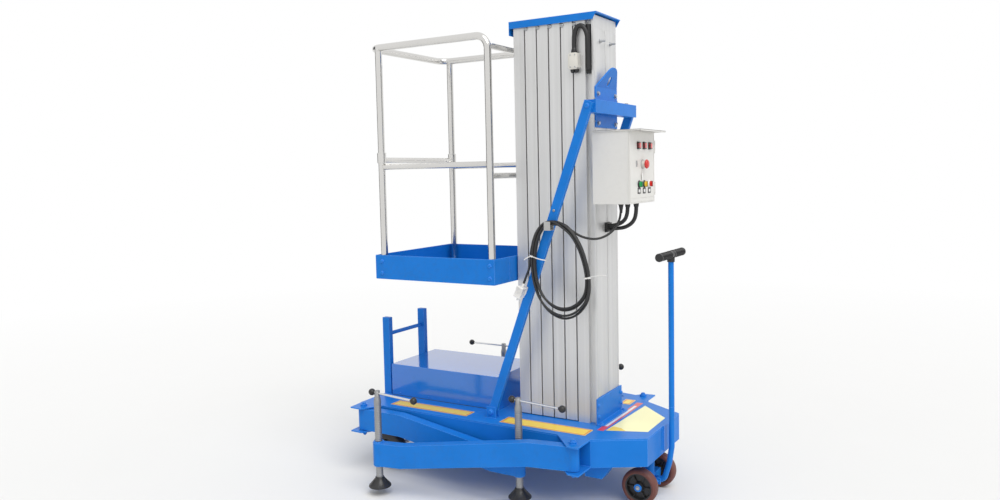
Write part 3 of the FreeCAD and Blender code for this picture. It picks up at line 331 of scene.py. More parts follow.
finishes = {
    bluePaint: ["chassis_frame", "deck_plate", "step_frame", "mast_shoe", "lift_lug",
                "cross_channel", "brace_near", "brace_far", "mast_cap", "basket_tray",
                "steer_fork", "tow_bar", "arm_front_near", "arm_front_far", "arm_rear_near",
                "arm_rear_far"],
    glossyBlue: ["power_cover"],
    steelTube: ["basket_rails", "entry_bar"],
    mastAlloy: ["stage_%d" % i for i in range(6)],
    creamPaint: ["cabinet_body", "cabinet_door", "cabinet_hood"],
    creamPlastic: ["junction_box"],
    zincSteel: ["rear_axle", "basket_carrier"],
    blackCable: ["travel_cable", "control_cables"],
    blackRubber: ["cable_grommet", "power_pack"],
    greyPlastic: ["cord_clip"],
}
for material, names in finishes.items():
    for name in names:
        nodes[name].data.materials.clear()
        nodes[name].data.materials.append(material)
print("finishes on", sum(len(names) for names in finishes.values()), "solids")


def addObject(name, data):
    piece = bpy.data.objects.new(name, data)
    bpy.context.scene.collection.objects.link(piece)
    return piece


def finishMesh(name, mesh, materials, body="chassis", angle=35, replaces=()):
    data = bpy.data.meshes.new(name)
    bmesh.ops.remove_doubles(mesh, verts=mesh.verts, dist=1e-6)
    bmesh.ops.recalc_face_normals(mesh, faces=mesh.faces)
    mesh.to_mesh(data)
    mesh.free()
    for material in materials if isinstance(materials, list) else [materials]:
        data.materials.append(material)
    data.shade_smooth()
    data.set_sharp_from_angle(angle=math.radians(angle))
    piece = addObject(name, data)
    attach(piece, body)
    if replaces:
        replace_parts(piece, *replaces)
    return piece


def frameAlong(axis, at=(0, 0, 0)):
    along, up = Vector(axis).normalized(), Vector((0, 0, 1))
    if abs(along.dot(up)) > 0.99:
        up = Vector((1, 0, 0))
    across = up.cross(along).normalized()
    turned = Matrix((across, along.cross(across), along)).transposed().to_4x4()
    return Matrix.Translation(at) @ turned


def circle(mesh, turn, radius, along=0.0, steps=32):
    return [mesh.verts.new(turn @ Vector((radius * math.cos(2 * math.pi * k / steps),
                                          radius * math.sin(2 * math.pi * k / steps), along)))
            for k in range(steps)]


def bridge(mesh, rings, paint=0):
    for a, b in zip(rings, rings[1:]):
        steps = len(a)
        for k in range(steps):
            n = (k + 1) % steps
            mesh.faces.new((a[k], a[n], b[n], b[k])).material_index = paint


def closeEnds(mesh, rings, paint=0):
    for ring in (rings[0], rings[-1]):
        mesh.faces.new(ring).material_index = paint


# a profile of (along, radius) turned about the axis, with both ends run in to the middle
def lathe(mesh, profile, origin, axis, steps=32, paint=0, ends=True):
    turn = frameAlong(axis, Vector(origin))
    if ends:
        profile = [(profile[0][0], 0), *profile, (profile[-1][0], 0)]
    rings = [circle(mesh, turn, radius, along, steps if radius > 1e-6 else 1)
             for along, radius in profile]
    for a, b in zip(rings, rings[1:]):
        if len(a) > 1 and len(b) > 1:
            bridge(mesh, (a, b), paint)
            continue
        for k in range(steps if len(a) + len(b) > 2 else 0):
            n = (k + 1) % steps
            face = (a[0], b[n], b[k]) if len(a) == 1 else (a[k], a[n], b[0])
            mesh.faces.new(face).material_index = paint


def softBox(mesh, low, high, bevel=0.001, turn=None, paint=0, segments=2):
    low, high = Vector(low), Vector(high)
    made = bmesh.ops.create_cube(mesh, size=1.0)["verts"]
    for vert in made:
        vert.co = Vector(((low[i] + high[i]) / 2 + vert.co[i] * (high[i] - low[i])
                          for i in range(3)))
        if turn is not None:
            vert.co = turn @ vert.co
    for face in {face for vert in made for face in vert.link_faces}:
        face.material_index = paint
    if bevel:
        edges = list(dict.fromkeys(edge for vert in made for edge in vert.link_edges))
        bmesh.ops.bevel(mesh, geom=edges, offset=bevel, segments=segments, profile=0.5,
                        affect="EDGES", clamp_overlap=True)


# a box about a middle, with its half sizes
def softBlock(mesh, middle, halves, bevel=0.001, **given):
    middle, halves = Vector(middle), Vector(halves)
    softBox(mesh, middle - halves, middle + halves, bevel, **given)


# shares of a bolt's nominal size
boltShape = {"washer": 1.08, "washerHigh": 0.2, "across": 0.87, "headHigh": 0.62,
             "nutHigh": 0.8, "crown": 0.74, "stub": 0.5}


def hexBolt(mesh, at, axis, size, paint=0, nut=False):
    turn = frameAlong(axis, Vector(at))
    wide, base = size * boltShape["washer"], size * boltShape["washerHigh"]
    lathe(mesh, [(0, wide), (size * 0.16, wide), (base, size * 1.02)], at, axis, 20, paint)
    high = base + size * boltShape["nutHigh" if nut else "headHigh"]
    rings = [circle(mesh, turn, size * share, along, 6) for along, share in (
        (base, boltShape["across"]), (high - size * 0.1, boltShape["across"]),
        (high, boltShape["crown"]))]
    bridge(mesh, rings, paint)
    closeEnds(mesh, rings, paint)
    if nut:
        stub = size * boltShape["stub"]
        lathe(mesh, [(high - 0.0005, stub), (high + size * 0.28, stub),
                     (high + size * 0.36, size * 0.42)], at, axis, 16, paint)


def hexBolts(mesh, rows, size, **given):
    for at, axis in rows:
        hexBolt(mesh, at, axis, size, **given)


def panScrew(mesh, at, axis, radius, paint=0):
    lathe(mesh, [(0, radius), (radius * 0.35, radius * 0.96), (radius * 0.62, radius * 0.66),
                 (radius * 0.70, 0)], at, axis, 20, paint)
    for wide, long in ((0.16, 0.62), (0.62, 0.16)):
        softBox(mesh, (-long * radius, -wide * radius, radius * 0.55),
                (long * radius, wide * radius, radius * 0.78), 0,
                frameAlong(axis, Vector(at)), paint)


def sweep(mesh, path, radius, steps=12, paint=0, closed=False, ripple=None):
    points, rings, across = [Vector(p) for p in path], [], None
    count = len(points)
    for i, point in enumerate(points):
        if closed:
            along = (points[(i + 1) % count] - points[i - 1]).normalized()
        else:
            along = (points[min(i + 1, count - 1)] - points[max(i - 1, 0)]).normalized()
        if across is None:
            across = along.orthogonal().normalized()
        else:
            across = (across - along * across.dot(along)).normalized()
        turn = Matrix.Translation(point) @ Matrix(
            (across, along.cross(across), along)).transposed().to_4x4()
        rings.append(circle(mesh, turn, radius * (ripple(i) if ripple else 1.0), 0, steps))
    if closed:
        bridge(mesh, rings + rings[:1], paint)
    else:
        bridge(mesh, rings, paint)
        closeEnds(mesh, rings, paint)


# a bead swells and thins from one puddle to the next
puddles = (0.82, 1.0, 1.06)


def weldBead(mesh, start, end, radius=0.0028):
    start, end = Vector(start), Vector(end)
    count = max(4, int((end - start).length / (radius * 1.1)))
    sweep(mesh, [start.lerp(end, i / count) for i in range(count + 1)], radius, 6,
          ripple=lambda i: puddles[i % 3] * (0.55 if i in (0, count) else 1))


def weldRing(mesh, centre, axis, radius, bead=0.0026, steps=48):
    turn = frameAlong(axis, Vector(centre))
    path = [turn @ Vector((radius * math.cos(2 * math.pi * k / steps),
                           radius * math.sin(2 * math.pi * k / steps), 0))
            for k in range(steps)]
    sweep(mesh, path, bead, 6, closed=True, ripple=lambda i: (0.84, 1.0, 1.06)[i % 3])


mastBolts = {"size": 0.0095, "height": 2.1250, "drop": 0.0015, "inset": 0.0045,
             "firstFront": 0.048, "pitch": 0.061}
for stage in (4, 3, 2, 1, 0):
    front = mastBolts["firstFront"] + mastBolts["pitch"] * (5 - stage)
    height = mastBolts["height"] - mastBolts["drop"] * (4 - stage)
    mesh = bmesh.new()
    for side in sides:
        panScrew(mesh, (front + mastBolts["inset"], side * mastHalf, height), (0, side, 0),
                 mastBolts["size"])
    finishMesh("stageScrews_%d" % stage, mesh, zincSteel,
               "mast_%d" % stage if stage else "chassis")

rearFace = {"rib": (0.0600, 0.0575), "proud": 0.0014, "low": 0.452, "high": 2.098,
            "seam": (-0.0042, -0.0008), "studs": [(-0.059, 2.044), (0.052, 2.044)],
            "studSize": 0.0095, "shaft": 0.0045, "shaftLong": 0.028}
mesh = bmesh.new()
across, half = rearFace["rib"]
for side in sides:
    softBox(mesh, (mastRear - 0.0004, side * across - half, rearFace["low"]),
            (mastRear + rearFace["proud"], side * across + half, rearFace["high"]), 0.0004)
finishMesh("rearFaceRibs", mesh, mastAlloy)
mesh = bmesh.new()
left, right = rearFace["seam"]
softBox(mesh, (mastRear - 0.0004, left, rearFace["low"]),
        (mastRear + 0.0003, right, rearFace["high"]), 0)
finishMesh("rearFaceSeam", mesh, blackRubber)
mesh = bmesh.new()
shaft, long = rearFace["shaft"], rearFace["shaftLong"]
for across, height in rearFace["studs"]:
    at = (mastRear + 0.001, across, height)
    hexBolt(mesh, at, (1, 0, 0), rearFace["studSize"], nut=True)
    lathe(mesh, [(0, shaft), (long - 0.001, shaft), (long, shaft - 0.0007)], at, (1, 0, 0), 16)
finishMesh("rearStuds", mesh, zincSteel)

headPlate = {"bolts": (0.095, 1.812, 1.683), "size": 0.010, "screws": (0.1265, 1.790, 1.690),
             "screwSize": 0.0050, "channelBolt": 0.170}
braces = {"outer": 0.250, "top": (0.473, 1.750), "topSize": 0.0100, "screw": (0.307, 1.303),
          "screwSize": 0.0062, "foot": (-0.036, 0.358), "footFaces": (0.2563, 0.2237),
          "footSize": 0.013}
shoe = {"across": 0.128, "heights": (0.368, 0.418), "size": 0.009, "soleSize": 0.008,
        "thick": 0.006, "soleOut": 0.020}
channelLow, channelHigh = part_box("cross_channel")
mesh = bmesh.new()
for side in sides:
    across, *heights = headPlate["bolts"]
    for height in heights:
        hexBolt(mesh, (mastRear + shoe["thick"], side * across, height), (1, 0, 0),
                headPlate["size"])
    across, *heights = headPlate["screws"]
    for height in heights:
        panScrew(mesh, (mastRear + 0.0015, side * across, height), (1, 0, 0),
                 headPlate["screwSize"])
hexBolt(mesh, ((channelLow.x + channelHigh.x) / 2, headPlate["channelBolt"], channelHigh.z),
        (0, 0, 1), headPlate["size"])
finishMesh("headBolts", mesh, zincSteel)
mesh = bmesh.new()
for side in sides:
    x, z = braces["screw"]
    panScrew(mesh, (x, side * braces["outer"], z), (0, side, 0), braces["screwSize"])
finishMesh("braceScrews", mesh, threadSteel)
mesh = bmesh.new()
for side in sides:
    (x, z), (footX, footZ) = braces["top"], braces["foot"]
    hexBolt(mesh, (x, side * braces["outer"], z), (0, side, 0), braces["topSize"])
    for face, way in zip(braces["footFaces"], (side, -side)):
        hexBolt(mesh, (footX, side * face, footZ), (0, way, 0), braces["footSize"],
                nut=way != side)
    for height in shoe["heights"]:
        hexBolt(mesh, (mastRear + shoe["thick"], side * shoe["across"], height), (1, 0, 0),
                shoe["size"])
    hexBolt(mesh, (mastRear + shoe["soleOut"], side * shoe["across"], deckTop + shoe["thick"]),
            (0, 0, 1), shoe["soleSize"])
finishMesh("frameBolts", mesh, bluePaint)

# junction box: its lid with four screws, and the glands above and below
junction = {"lidProud": 0.0022, "lidIn": (0.004, 0.006), "screwIn": (0.012, 0.010),
            "screw": 0.0032, "glandIn": 0.0155, "lowGlands": (-0.008, 0.012)}
boxLow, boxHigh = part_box("junction_box")
mesh = bmesh.new()
face = boxLow.y - junction["lidProud"]
inX, inZ = junction["lidIn"]
softBox(mesh, (boxLow.x + inX, face, boxLow.z + inZ),
        (boxHigh.x - inX, boxLow.y + 0.001, boxHigh.z - inZ), 0.0018)
inX, inZ = junction["screwIn"]
for x in (boxLow.x + inX, boxHigh.x - inX):
    for z in (boxLow.z + inZ, boxHigh.z - inZ):
        panScrew(mesh, (x, face, z), (0, -1, 0), junction["screw"], 1)
finishMesh("junctionLid", mesh, [creamPlastic, zincSteel])
x, y = (boxLow.x + boxHigh.x) / 2, boxLow.y + junction["glandIn"]
mesh = bmesh.new()
lathe(mesh, [(0, 0.0135), (0.008, 0.0135), (0.009, 0.0125), (0.012, 0.0125), (0.020, 0.0105),
             (0.022, 0.009)], (x, y, boxHigh.z), (0, 0, 1), 24)
for away in junction["lowGlands"]:
    lathe(mesh, [(0, 0.0105), (0.006, 0.0105), (0.014, 0.0075), (0.016, 0)],
          (x + away, y, boxLow.z), (0, 0, -1), 20)
finishMesh("junctionGlands", mesh, blackPlastic)
print("mast head done")

coilShape = {
    "middle": (0.342, -0.2675, 1.250), "wide": 0.127, "tall": 0.410,
    # stations round one turn, seen from the lift's right: share of the half width, share
    # of the height down; over the clip, down the front side, up the rear side
    "stations": [(-0.20, 0.00), (-0.48, 0.00), (-0.69, 0.05), (-0.89, 0.15), (-1.02, 0.33),
                 (-1.04, 0.52), (-0.94, 0.69), (-0.74, 0.84), (-0.38, 0.95), (0.10, 1.00),
                 (0.58, 0.95), (0.94, 0.83), (1.05, 0.70), (1.04, 0.56), (0.94, 0.41),
                 (0.76, 0.25), (0.48, 0.11), (0.12, 0.02)],
    # each turn: how far out (m), how far in front (m), extra slack at the bottom (m)
    "spread": [(-0.0058, 0.0056, -0.026), (0.0058, 0.0056, -0.004), (0.0058, -0.0056, 0.010),
               (-0.0058, -0.0056, -0.016)],
    "over": 6, "overOut": 0.0172, "loose": 1.3, "cordWide": 0.0105,
    # from the cabinet to the clip, and from the coil to the plug
    "lead": [(0.545, -0.062, 1.3257), (0.545, -0.063, 1.2837), (0.540, -0.084, 1.2377),
             (0.524, -0.133, 1.1970), (0.487, -0.192, 1.1740), (0.438, -0.243, 1.187),
             (0.396, -0.262, 1.219), (0.358, -0.2675, 1.2445)],
    "tail": [(0.1965, -0.269, 1.080), (0.1885, -0.270, 1.040), (0.1700, -0.2705, 1.000),
             (0.1522, -0.2685, 0.9600)],
}


def coilPoint(station, outward, forward, slack):
    across, down = station
    way = Vector((across, 0, 0.5 - down)).normalized()
    return Vector(coilShape["middle"]) + Vector(
        (across * coilShape["wide"], -forward, -down * coilShape["tall"] - slack * down * down)
    ) + way * outward


def coilPoints():
    points, stations = [], coilShape["stations"]
    for outward, forward, slack in coilShape["spread"]:
        for k, station in enumerate(stations):
            loose = coilShape["loose"] if k in (0, len(stations) - 1) else 1.0
            points.append(coilPoint(station, outward * loose, forward * loose, slack))
    for k in range(coilShape["over"] - 1):
        share = (k + 1) / (coilShape["over"] - 1)
        points.append(coilPoint(stations[k], coilShape["overOut"] * share, -0.002, 0))
    return points


def cordCurve(name, points, wide):
    data = bpy.data.curves.new(name, "CURVE")
    data.dimensions, data.bevel_depth, data.bevel_resolution = "3D", wide / 2, 3
    data.resolution_u, data.use_fill_caps = 8, True
    spline = data.splines.new("NURBS")
    spline.points.add(len(points) - 1)
    for place, point in zip(spline.points, points):
        place.co = (*point, 1)
    spline.order_u, spline.use_endpoint_u = 3, True
    data.materials.append(blackCable)
    piece = addObject(name, data)
    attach(piece, "chassis")
    return piece


def lineLength(curve):
    bare = addObject("bareLine", curve.data.copy())
    bare.data.bevel_depth = 0
    bpy.context.view_layer.update()
    mesh = bpy.data.meshes.new_from_object(bare)
    line = [vert.co.copy() for vert in mesh.vertices]
    bpy.data.meshes.remove(mesh)
    bpy.data.objects.remove(bare)
    return sum((b - a).length for a, b in zip(line, line[1:]))


lead, tail = coilShape["lead"], coilShape["tail"]
mainsCord = cordCurve("mainsCord", lead + coilPoints() + tail, coilShape["cordWide"])
cordLong = round(lineLength(mainsCord), 3)
print("mains cord", cordLong, "m")
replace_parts(mainsCord, "mains_lead", "mains_coil", "mains_tail")

# a ribbed white plug on the tail's end, with its pins
plugShape = {"half": (0.0190, 0.0130), "long": 0.048, "ribs": (0.012, 0.018, 0.024, 0.030),
             "ribProud": 0.0004, "ribWide": 0.0020, "pinAway": 0.0070, "pinHalf": (0.001, 0.003),
             "pin": (0.049, 0.067)}
plugWay = (Vector(tail[-1]) - Vector(tail[-2])).normalized()
plugTurn = Matrix.Translation(tail[-1]) @ plugWay.to_track_quat("Z", "Y").to_matrix().to_4x4()


def plugBox(mesh, halfWide, halfDeep, low, high, bevel, away=0.0, **given):
    softBox(mesh, (away - halfWide, -halfDeep, low), (away + halfWide, halfDeep, high), bevel,
            plugTurn, **given)


mesh = bmesh.new()
wide, deep = plugShape["half"]
lathe(mesh, [(-0.018, 0.0062), (-0.012, 0.0072), (-0.010, 0.0066), (-0.007, 0.0078),
             (-0.005, 0.0072), (-0.002, 0.0088), (0.002, 0.0088)], tail[-1], plugWay, 20)
plugBox(mesh, wide, deep, 0.001, plugShape["long"], 0.005, segments=3)
for z in plugShape["ribs"]:
    plugBox(mesh, wide + plugShape["ribProud"], deep + plugShape["ribProud"], z,
            z + plugShape["ribWide"], 0.0007)
plugBox(mesh, wide - 0.0040, deep - 0.0025, plugShape["long"] - 0.001,
        plugShape["long"] + 0.002, 0.001)
for side in sides:
    plugBox(mesh, *plugShape["pinHalf"], *plugShape["pin"], 0.0006,
            side * plugShape["pinAway"], paint=1)
plug = finishMesh("plugBody", mesh, [whitePlastic, chromeSteel], "chassis",
                  replaces=("mains_plug",))

# a tapered relief under the cabinet, and the ties round the turns
mesh = bmesh.new()
lathe(mesh, [(0, 0.0125), (0.006, 0.0125), (0.007, 0.0105), (0.012, 0.0100),
             (0.016, 0.0092), (0.030, 0.0068), (0.042, 0.0058)], lead[0], (0, -0.02, -1), 24)
finishMesh("leadRelief", mesh, blackPlastic)
tieStrap = {"thick": 0.0012, "half": 0.0022, "steps": 32, "lock": (0.004, 0.004, 0.0035),
            "tail": 0.0020}
ties = [  # middle, half width, half depth, fall over the width, lock's step, tail's way, length
    ((0.2260, -0.2560, 1.0960), 0.0400, 0.0270, -0.012, 22, (-0.95, -0.10, 0.02), 0.032),
    ((0.4715, -0.2675, 1.0150), 0.0150, 0.0135, 0.0, 24, (0.75, -0.15, 0.26), 0.115)]
mesh = bmesh.new()
for centre, halfWide, halfDeep, fall, lockStep, tailWay, tailLong in ties:
    centre, steps = Vector(centre), tieStrap["steps"]
    ring = [centre + Vector((halfWide * math.cos(a), halfDeep * math.sin(a),
                             fall * math.cos(a)))
            for a in (2 * math.pi * k / steps for k in range(steps))]
    for k in range(steps):
        a, b = ring[k], ring[(k + 1) % steps]
        out = ((a + b) / 2 - centre).normalized() * tieStrap["thick"]
        rise = Vector((0, 0, tieStrap["half"]))
        inner = (a - rise, b - rise, b + rise, a + rise)
        corners = [mesh.verts.new(p) for p in (*inner, *(p + out for p in inner))]
        for face in ((0, 1, 5, 4), (3, 2, 6, 7), (4, 5, 6, 7), (0, 1, 2, 3)):
            mesh.faces.new([corners[n] for n in face])
    lock, half = ring[lockStep] + Vector((0, -0.001, 0)), Vector(tieStrap["lock"])
    softBox(mesh, lock - half, lock + half - Vector((0, 0.002, 0)), 0.0008)
    way = Vector(tailWay).normalized()
    droop = [lock + way * (tailLong * t) + Vector((0, -0.010 * t, -0.016 * t * t))
             for t in (k / 8 for k in range(9))]
    sweep(mesh, droop, tieStrap["tail"], 6)
finishMesh("cordTies", mesh, whitePlastic, "chassis")

# fixed cables: from the cabinet into the grommet, and the loop that runs down the groove
gripLow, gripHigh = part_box("cable_grommet")
mouth = gripHigh.x - 0.004
fixedCables = [  # piece, node, width (m), points
    ("controlCable_a", "control_cables", 0.0178,
     [(0.560, -0.022, 1.3257), (0.560, -0.022, 1.2877), (0.548, -0.019, 1.2537),
      (0.520, -0.014, 1.2330), (mouth + 0.020, -0.0095, 1.2225), (mouth, -0.009, 1.2220)]),
    ("controlCable_b", "control_cables", 0.0178,
     [(0.587, 0.012, 1.3257), (0.588, 0.012, 1.2817), (0.574, 0.011, 1.2400),
      (0.534, 0.010, 1.2137), (mouth + 0.022, 0.009, 1.2090), (mouth, 0.009, 1.2090)]),
    ("travelLoop", "travel_cable", 0.0205,
     [(0.363, -0.1395, 1.986), (0.363, -0.1395, 2.030), (0.364, -0.1390, 2.072),
      (0.377, -0.1385, 2.107), (0.405, -0.1380, 2.109), (0.424, -0.1370, 2.074),
      (0.4285, -0.1355, 2.025), (0.4290, -0.1345, 1.968), (0.4280, -0.1335, 1.914)]),
    ("travelCore", "travel_cable", 0.0240,
     [(0.4230, -0.1175, 2.112), (0.4230, -0.1175, 2.060), (0.4232, -0.1175, 2.000),
      (0.4240, -0.1170, 1.950), (0.4250, -0.1165, 1.900)]),
]
for name, node, wide, points in fixedCables:
    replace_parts(cordCurve(name, points, wide), node)

# glands of the control cables, and the grommet's lip
gland, lip = 0.0125, Vector((0, 0.003, 0.003))
mesh = bmesh.new()
for x, y, z in (points[0] for name, node, wide, points in fixedCables[:2]):
    lathe(mesh, [(0, gland), (0.007, gland), (0.008, gland - 0.001), (0.013, gland - 0.001),
                 (0.020, gland - 0.0035), (0.022, 0)], (x, y, z + 0.0001), (0, 0, -1), 24)
softBox(mesh, gripLow - lip, Vector((gripLow.x + 0.004, gripHigh.y, gripHigh.z)) + lip, 0.0015)
finishMesh("cableGlands", mesh, blackPlastic)
print("cords done")

panel = {"face": 0.622, "lamps": (0.021, 0.069, 1.580), "stop": (0.002, 1.498),
         "switches": (0.021, 0.062, 1.410), "lock": (-0.068, 1.500)}


# a low box on the door's face: half width, then how far in and how far out it reaches
def faceBox(mesh, y, z, halfY, halfZ, inward, outward, bevel, **given):
    softBox(mesh, (panel["face"] + inward, y - halfY, z - halfZ),
            (panel["face"] + outward, y + halfY, z + halfZ), bevel, **given)


def rowOf(row):
    middle, pitch, z = panel[row]
    return [(middle + i * pitch, z) for i in (-1, 0, 1)]


mesh = bmesh.new()
for y, z in rowOf("lamps"):
    faceBox(mesh, y, z, 0.0165, 0.0165, -0.0002, 0.0022, 0.0015)
    faceBox(mesh, y, z, 0.0150, 0.0150, 0.001, 0.0105, 0.0040, paint=1, segments=3)
finishMesh("lampLenses", mesh, [blackPlastic, redLens], "door", replaces=("lamp_row",))

y, z = panel["stop"]
stopAt = Vector((panel["face"], y, z))
mesh = bmesh.new()
for paint, steps, profile in (
        (2, 36, [(0, 0.0215), (0.0016, 0.0215), (0.002, 0.0200)]),
        (1, 32, [(0.002, 0.0160), (0.004, 0.0160), (0.012, 0.0145), (0.014, 0.0125),
                 (0.018, 0.0115)]),
        (0, 40, [(0.016, 0.0180), (0.0175, 0.0193), (0.0215, 0.0196), (0.0255, 0.0178),
                 (0.0285, 0.0130), (0.0298, 0.0060), (0.0300, 0)])):
    lathe(mesh, profile, stopAt, (1, 0, 0), steps, paint)
knurl = {"count": 24, "away": 0.0193, "low": 0.0175, "high": 0.0220, "half": 0.0009}
for k in range(knurl["count"]):
    turn = 2 * math.pi * k / knurl["count"]
    faceBox(mesh, y + knurl["away"] * math.cos(turn), z + knurl["away"] * math.sin(turn),
            knurl["half"], knurl["half"], knurl["low"], knurl["high"], 0.0004, segments=1)
finishMesh("stopMushroom", mesh, [redPlastic, creamPlastic, greyPlastic], "door",
           replaces=("stop_button",))

# a small blank tag hangs from the stop button on its string
mesh = bmesh.new()
string = [stopAt + Vector(p) for p in ((0.008, -0.0155, -0.001), (0.009, -0.016, -0.018),
                                       (0.0045, -0.013, -0.040))]
sweep(mesh, string, 0.0007, 6)
faceBox(mesh, y - 0.0115, z - 0.0545, 0.007, 0.0155, 0.0036, 0.0046, 0.0004)
finishMesh("stopTag", mesh, whitePlastic, "door")

mesh = bmesh.new()
for (y, z), ring, knob in zip(rowOf("switches"), (0, 0, 4), (1, 2, 3)):
    faceBox(mesh, y, z - 0.02925, 0.0175, 0.01275, -0.0002, 0.0014, 0.0006)
    faceBox(mesh, y, z - 0.02925, 0.0105, 0.00675, 0.001, 0.0018, 0.0003, paint=4)
    at = (panel["face"], y, z)
    lathe(mesh, [(0, 0.0170), (0.002, 0.0170), (0.0045, 0.0150), (0.006, 0.0146)], at,
          (1, 0, 0), 32, ring)
    lathe(mesh, [(0.005, 0.0128), (0.009, 0.0130), (0.0100, 0.0120), (0.0105, 0)], at,
          (1, 0, 0), 32, knob)
    faceBox(mesh, y, z, 0.0034, 0.0125, 0.009, 0.0175, 0.0016, paint=knob)
finishMesh("selectors", mesh, [blackPlastic, greenPlastic, yellowPlastic, redPlastic,
                               whitePlastic], "door", replaces=("switch_row",))

mesh = bmesh.new()
y, z = panel["lock"]
faceBox(mesh, y, z, 0.0085, 0.0130, -0.0002, 0.0016, 0.0008)
faceBox(mesh, y, z, 0.0062, 0.0105, 0.001, 0.0020, 0.0004, paint=1)
lathe(mesh, [(0.0015, 0.0048), (0.0030, 0.0044)], (panel["face"], y, z), (1, 0, 0), 24)
finishMesh("doorLock", mesh, [zincSteel, greyPlastic], "door")

# raised frame round the door's middle, and the fold near its foot
edges = {"half": 0.1435, "rows": (1.334, 1.637, 1.352), "wide": 0.0014, "proud": 0.0010}
low, high = edges["rows"][:2]
mesh = bmesh.new()
for side in sides:
    faceBox(mesh, side * edges["half"], (low + high) / 2, edges["wide"], (high - low) / 2,
            -0.0002, edges["proud"], 0.0004)
for z in edges["rows"]:
    faceBox(mesh, 0, z, edges["half"], edges["wide"], -0.0002, edges["proud"], 0.0004)
finishMesh("doorFolds", mesh, creamPaint, "door")

# the hood's turned-down lips, and the seam on the cabinet's sides
hood = {"sheet": 0.0016, "frontLip": 0.006, "sideLip": 0.004, "seam": (0.6125, 0.6150),
        "seamSide": 0.150, "seamZ": (1.330, 1.641), "seamHalf": 0.0006}
hoodLow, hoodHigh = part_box("cabinet_hood")
mesh = bmesh.new()
softBox(mesh, (hoodHigh.x - hood["sheet"], hoodLow.y, hoodLow.z - hood["frontLip"]), hoodHigh,
        0.0005)
for y in (hoodLow.y, hoodHigh.y - hood["sheet"]):
    softBox(mesh, (hoodLow.x + 0.01, y, hoodLow.z - hood["sideLip"]),
            (hoodHigh.x, y + hood["sheet"], hoodHigh.z), 0.0005)
finishMesh("hoodLips", mesh, creamPaint)
mesh = bmesh.new()
(back, front), (low, high) = hood["seam"], hood["seamZ"]
for side in sides:
    y = side * hood["seamSide"]
    softBox(mesh, (back, y - hood["seamHalf"], low), (front, y + hood["seamHalf"], high), 0.0003)
finishMesh("cabinetSeams", mesh, creamPaint)
print("cabinet done")

# T-bars: direction in degrees, and their two ends from the column (m)
jacks = {"front_near": (-8, -0.035, 0.235), "rear_near": (-8, -0.035, 0.235),
         "front_far": (0, -0.219, 0.051), "rear_far": (0, -0.105, 0.165)}
jackShape = {"low": 0.075, "smooth": 0.428, "radius": 0.017, "neck": 0.0125, "bar": 0.005,
             "barHeight": 0.474, "ball": 0.016, "pitch": 0.008, "depth": 0.0018, "steps": 20,
             "armTop": 0.2428, "armFoot": 0.1372, "nutBore": 0.0174, "ribs": 12}


def threadedColumn(mesh, x, y):
    steps, low, high = (jackShape[k] for k in ("steps", "low", "smooth"))
    rows = int((high - low) / jackShape["pitch"] * 4)
    rings = []
    for j in range(rows + 1):
        z = low + (high - low) * j / rows
        fade = min(1, (high - z) / 0.006, (z - low) / 0.004)
        ring = []
        for k in range(steps):
            phase = (z - low) / jackShape["pitch"] - k / steps
            cut = jackShape["depth"] * (0.5 + 0.5 * math.cos(2 * math.pi * phase))
            radius, angle = jackShape["radius"] - cut * fade, 2 * math.pi * k / steps
            ring.append(mesh.verts.new((x + radius * math.cos(angle),
                                        y + radius * math.sin(angle), z)))
        rings.append(ring)
    bridge(mesh, rings)
    closeEnds(mesh, rings)


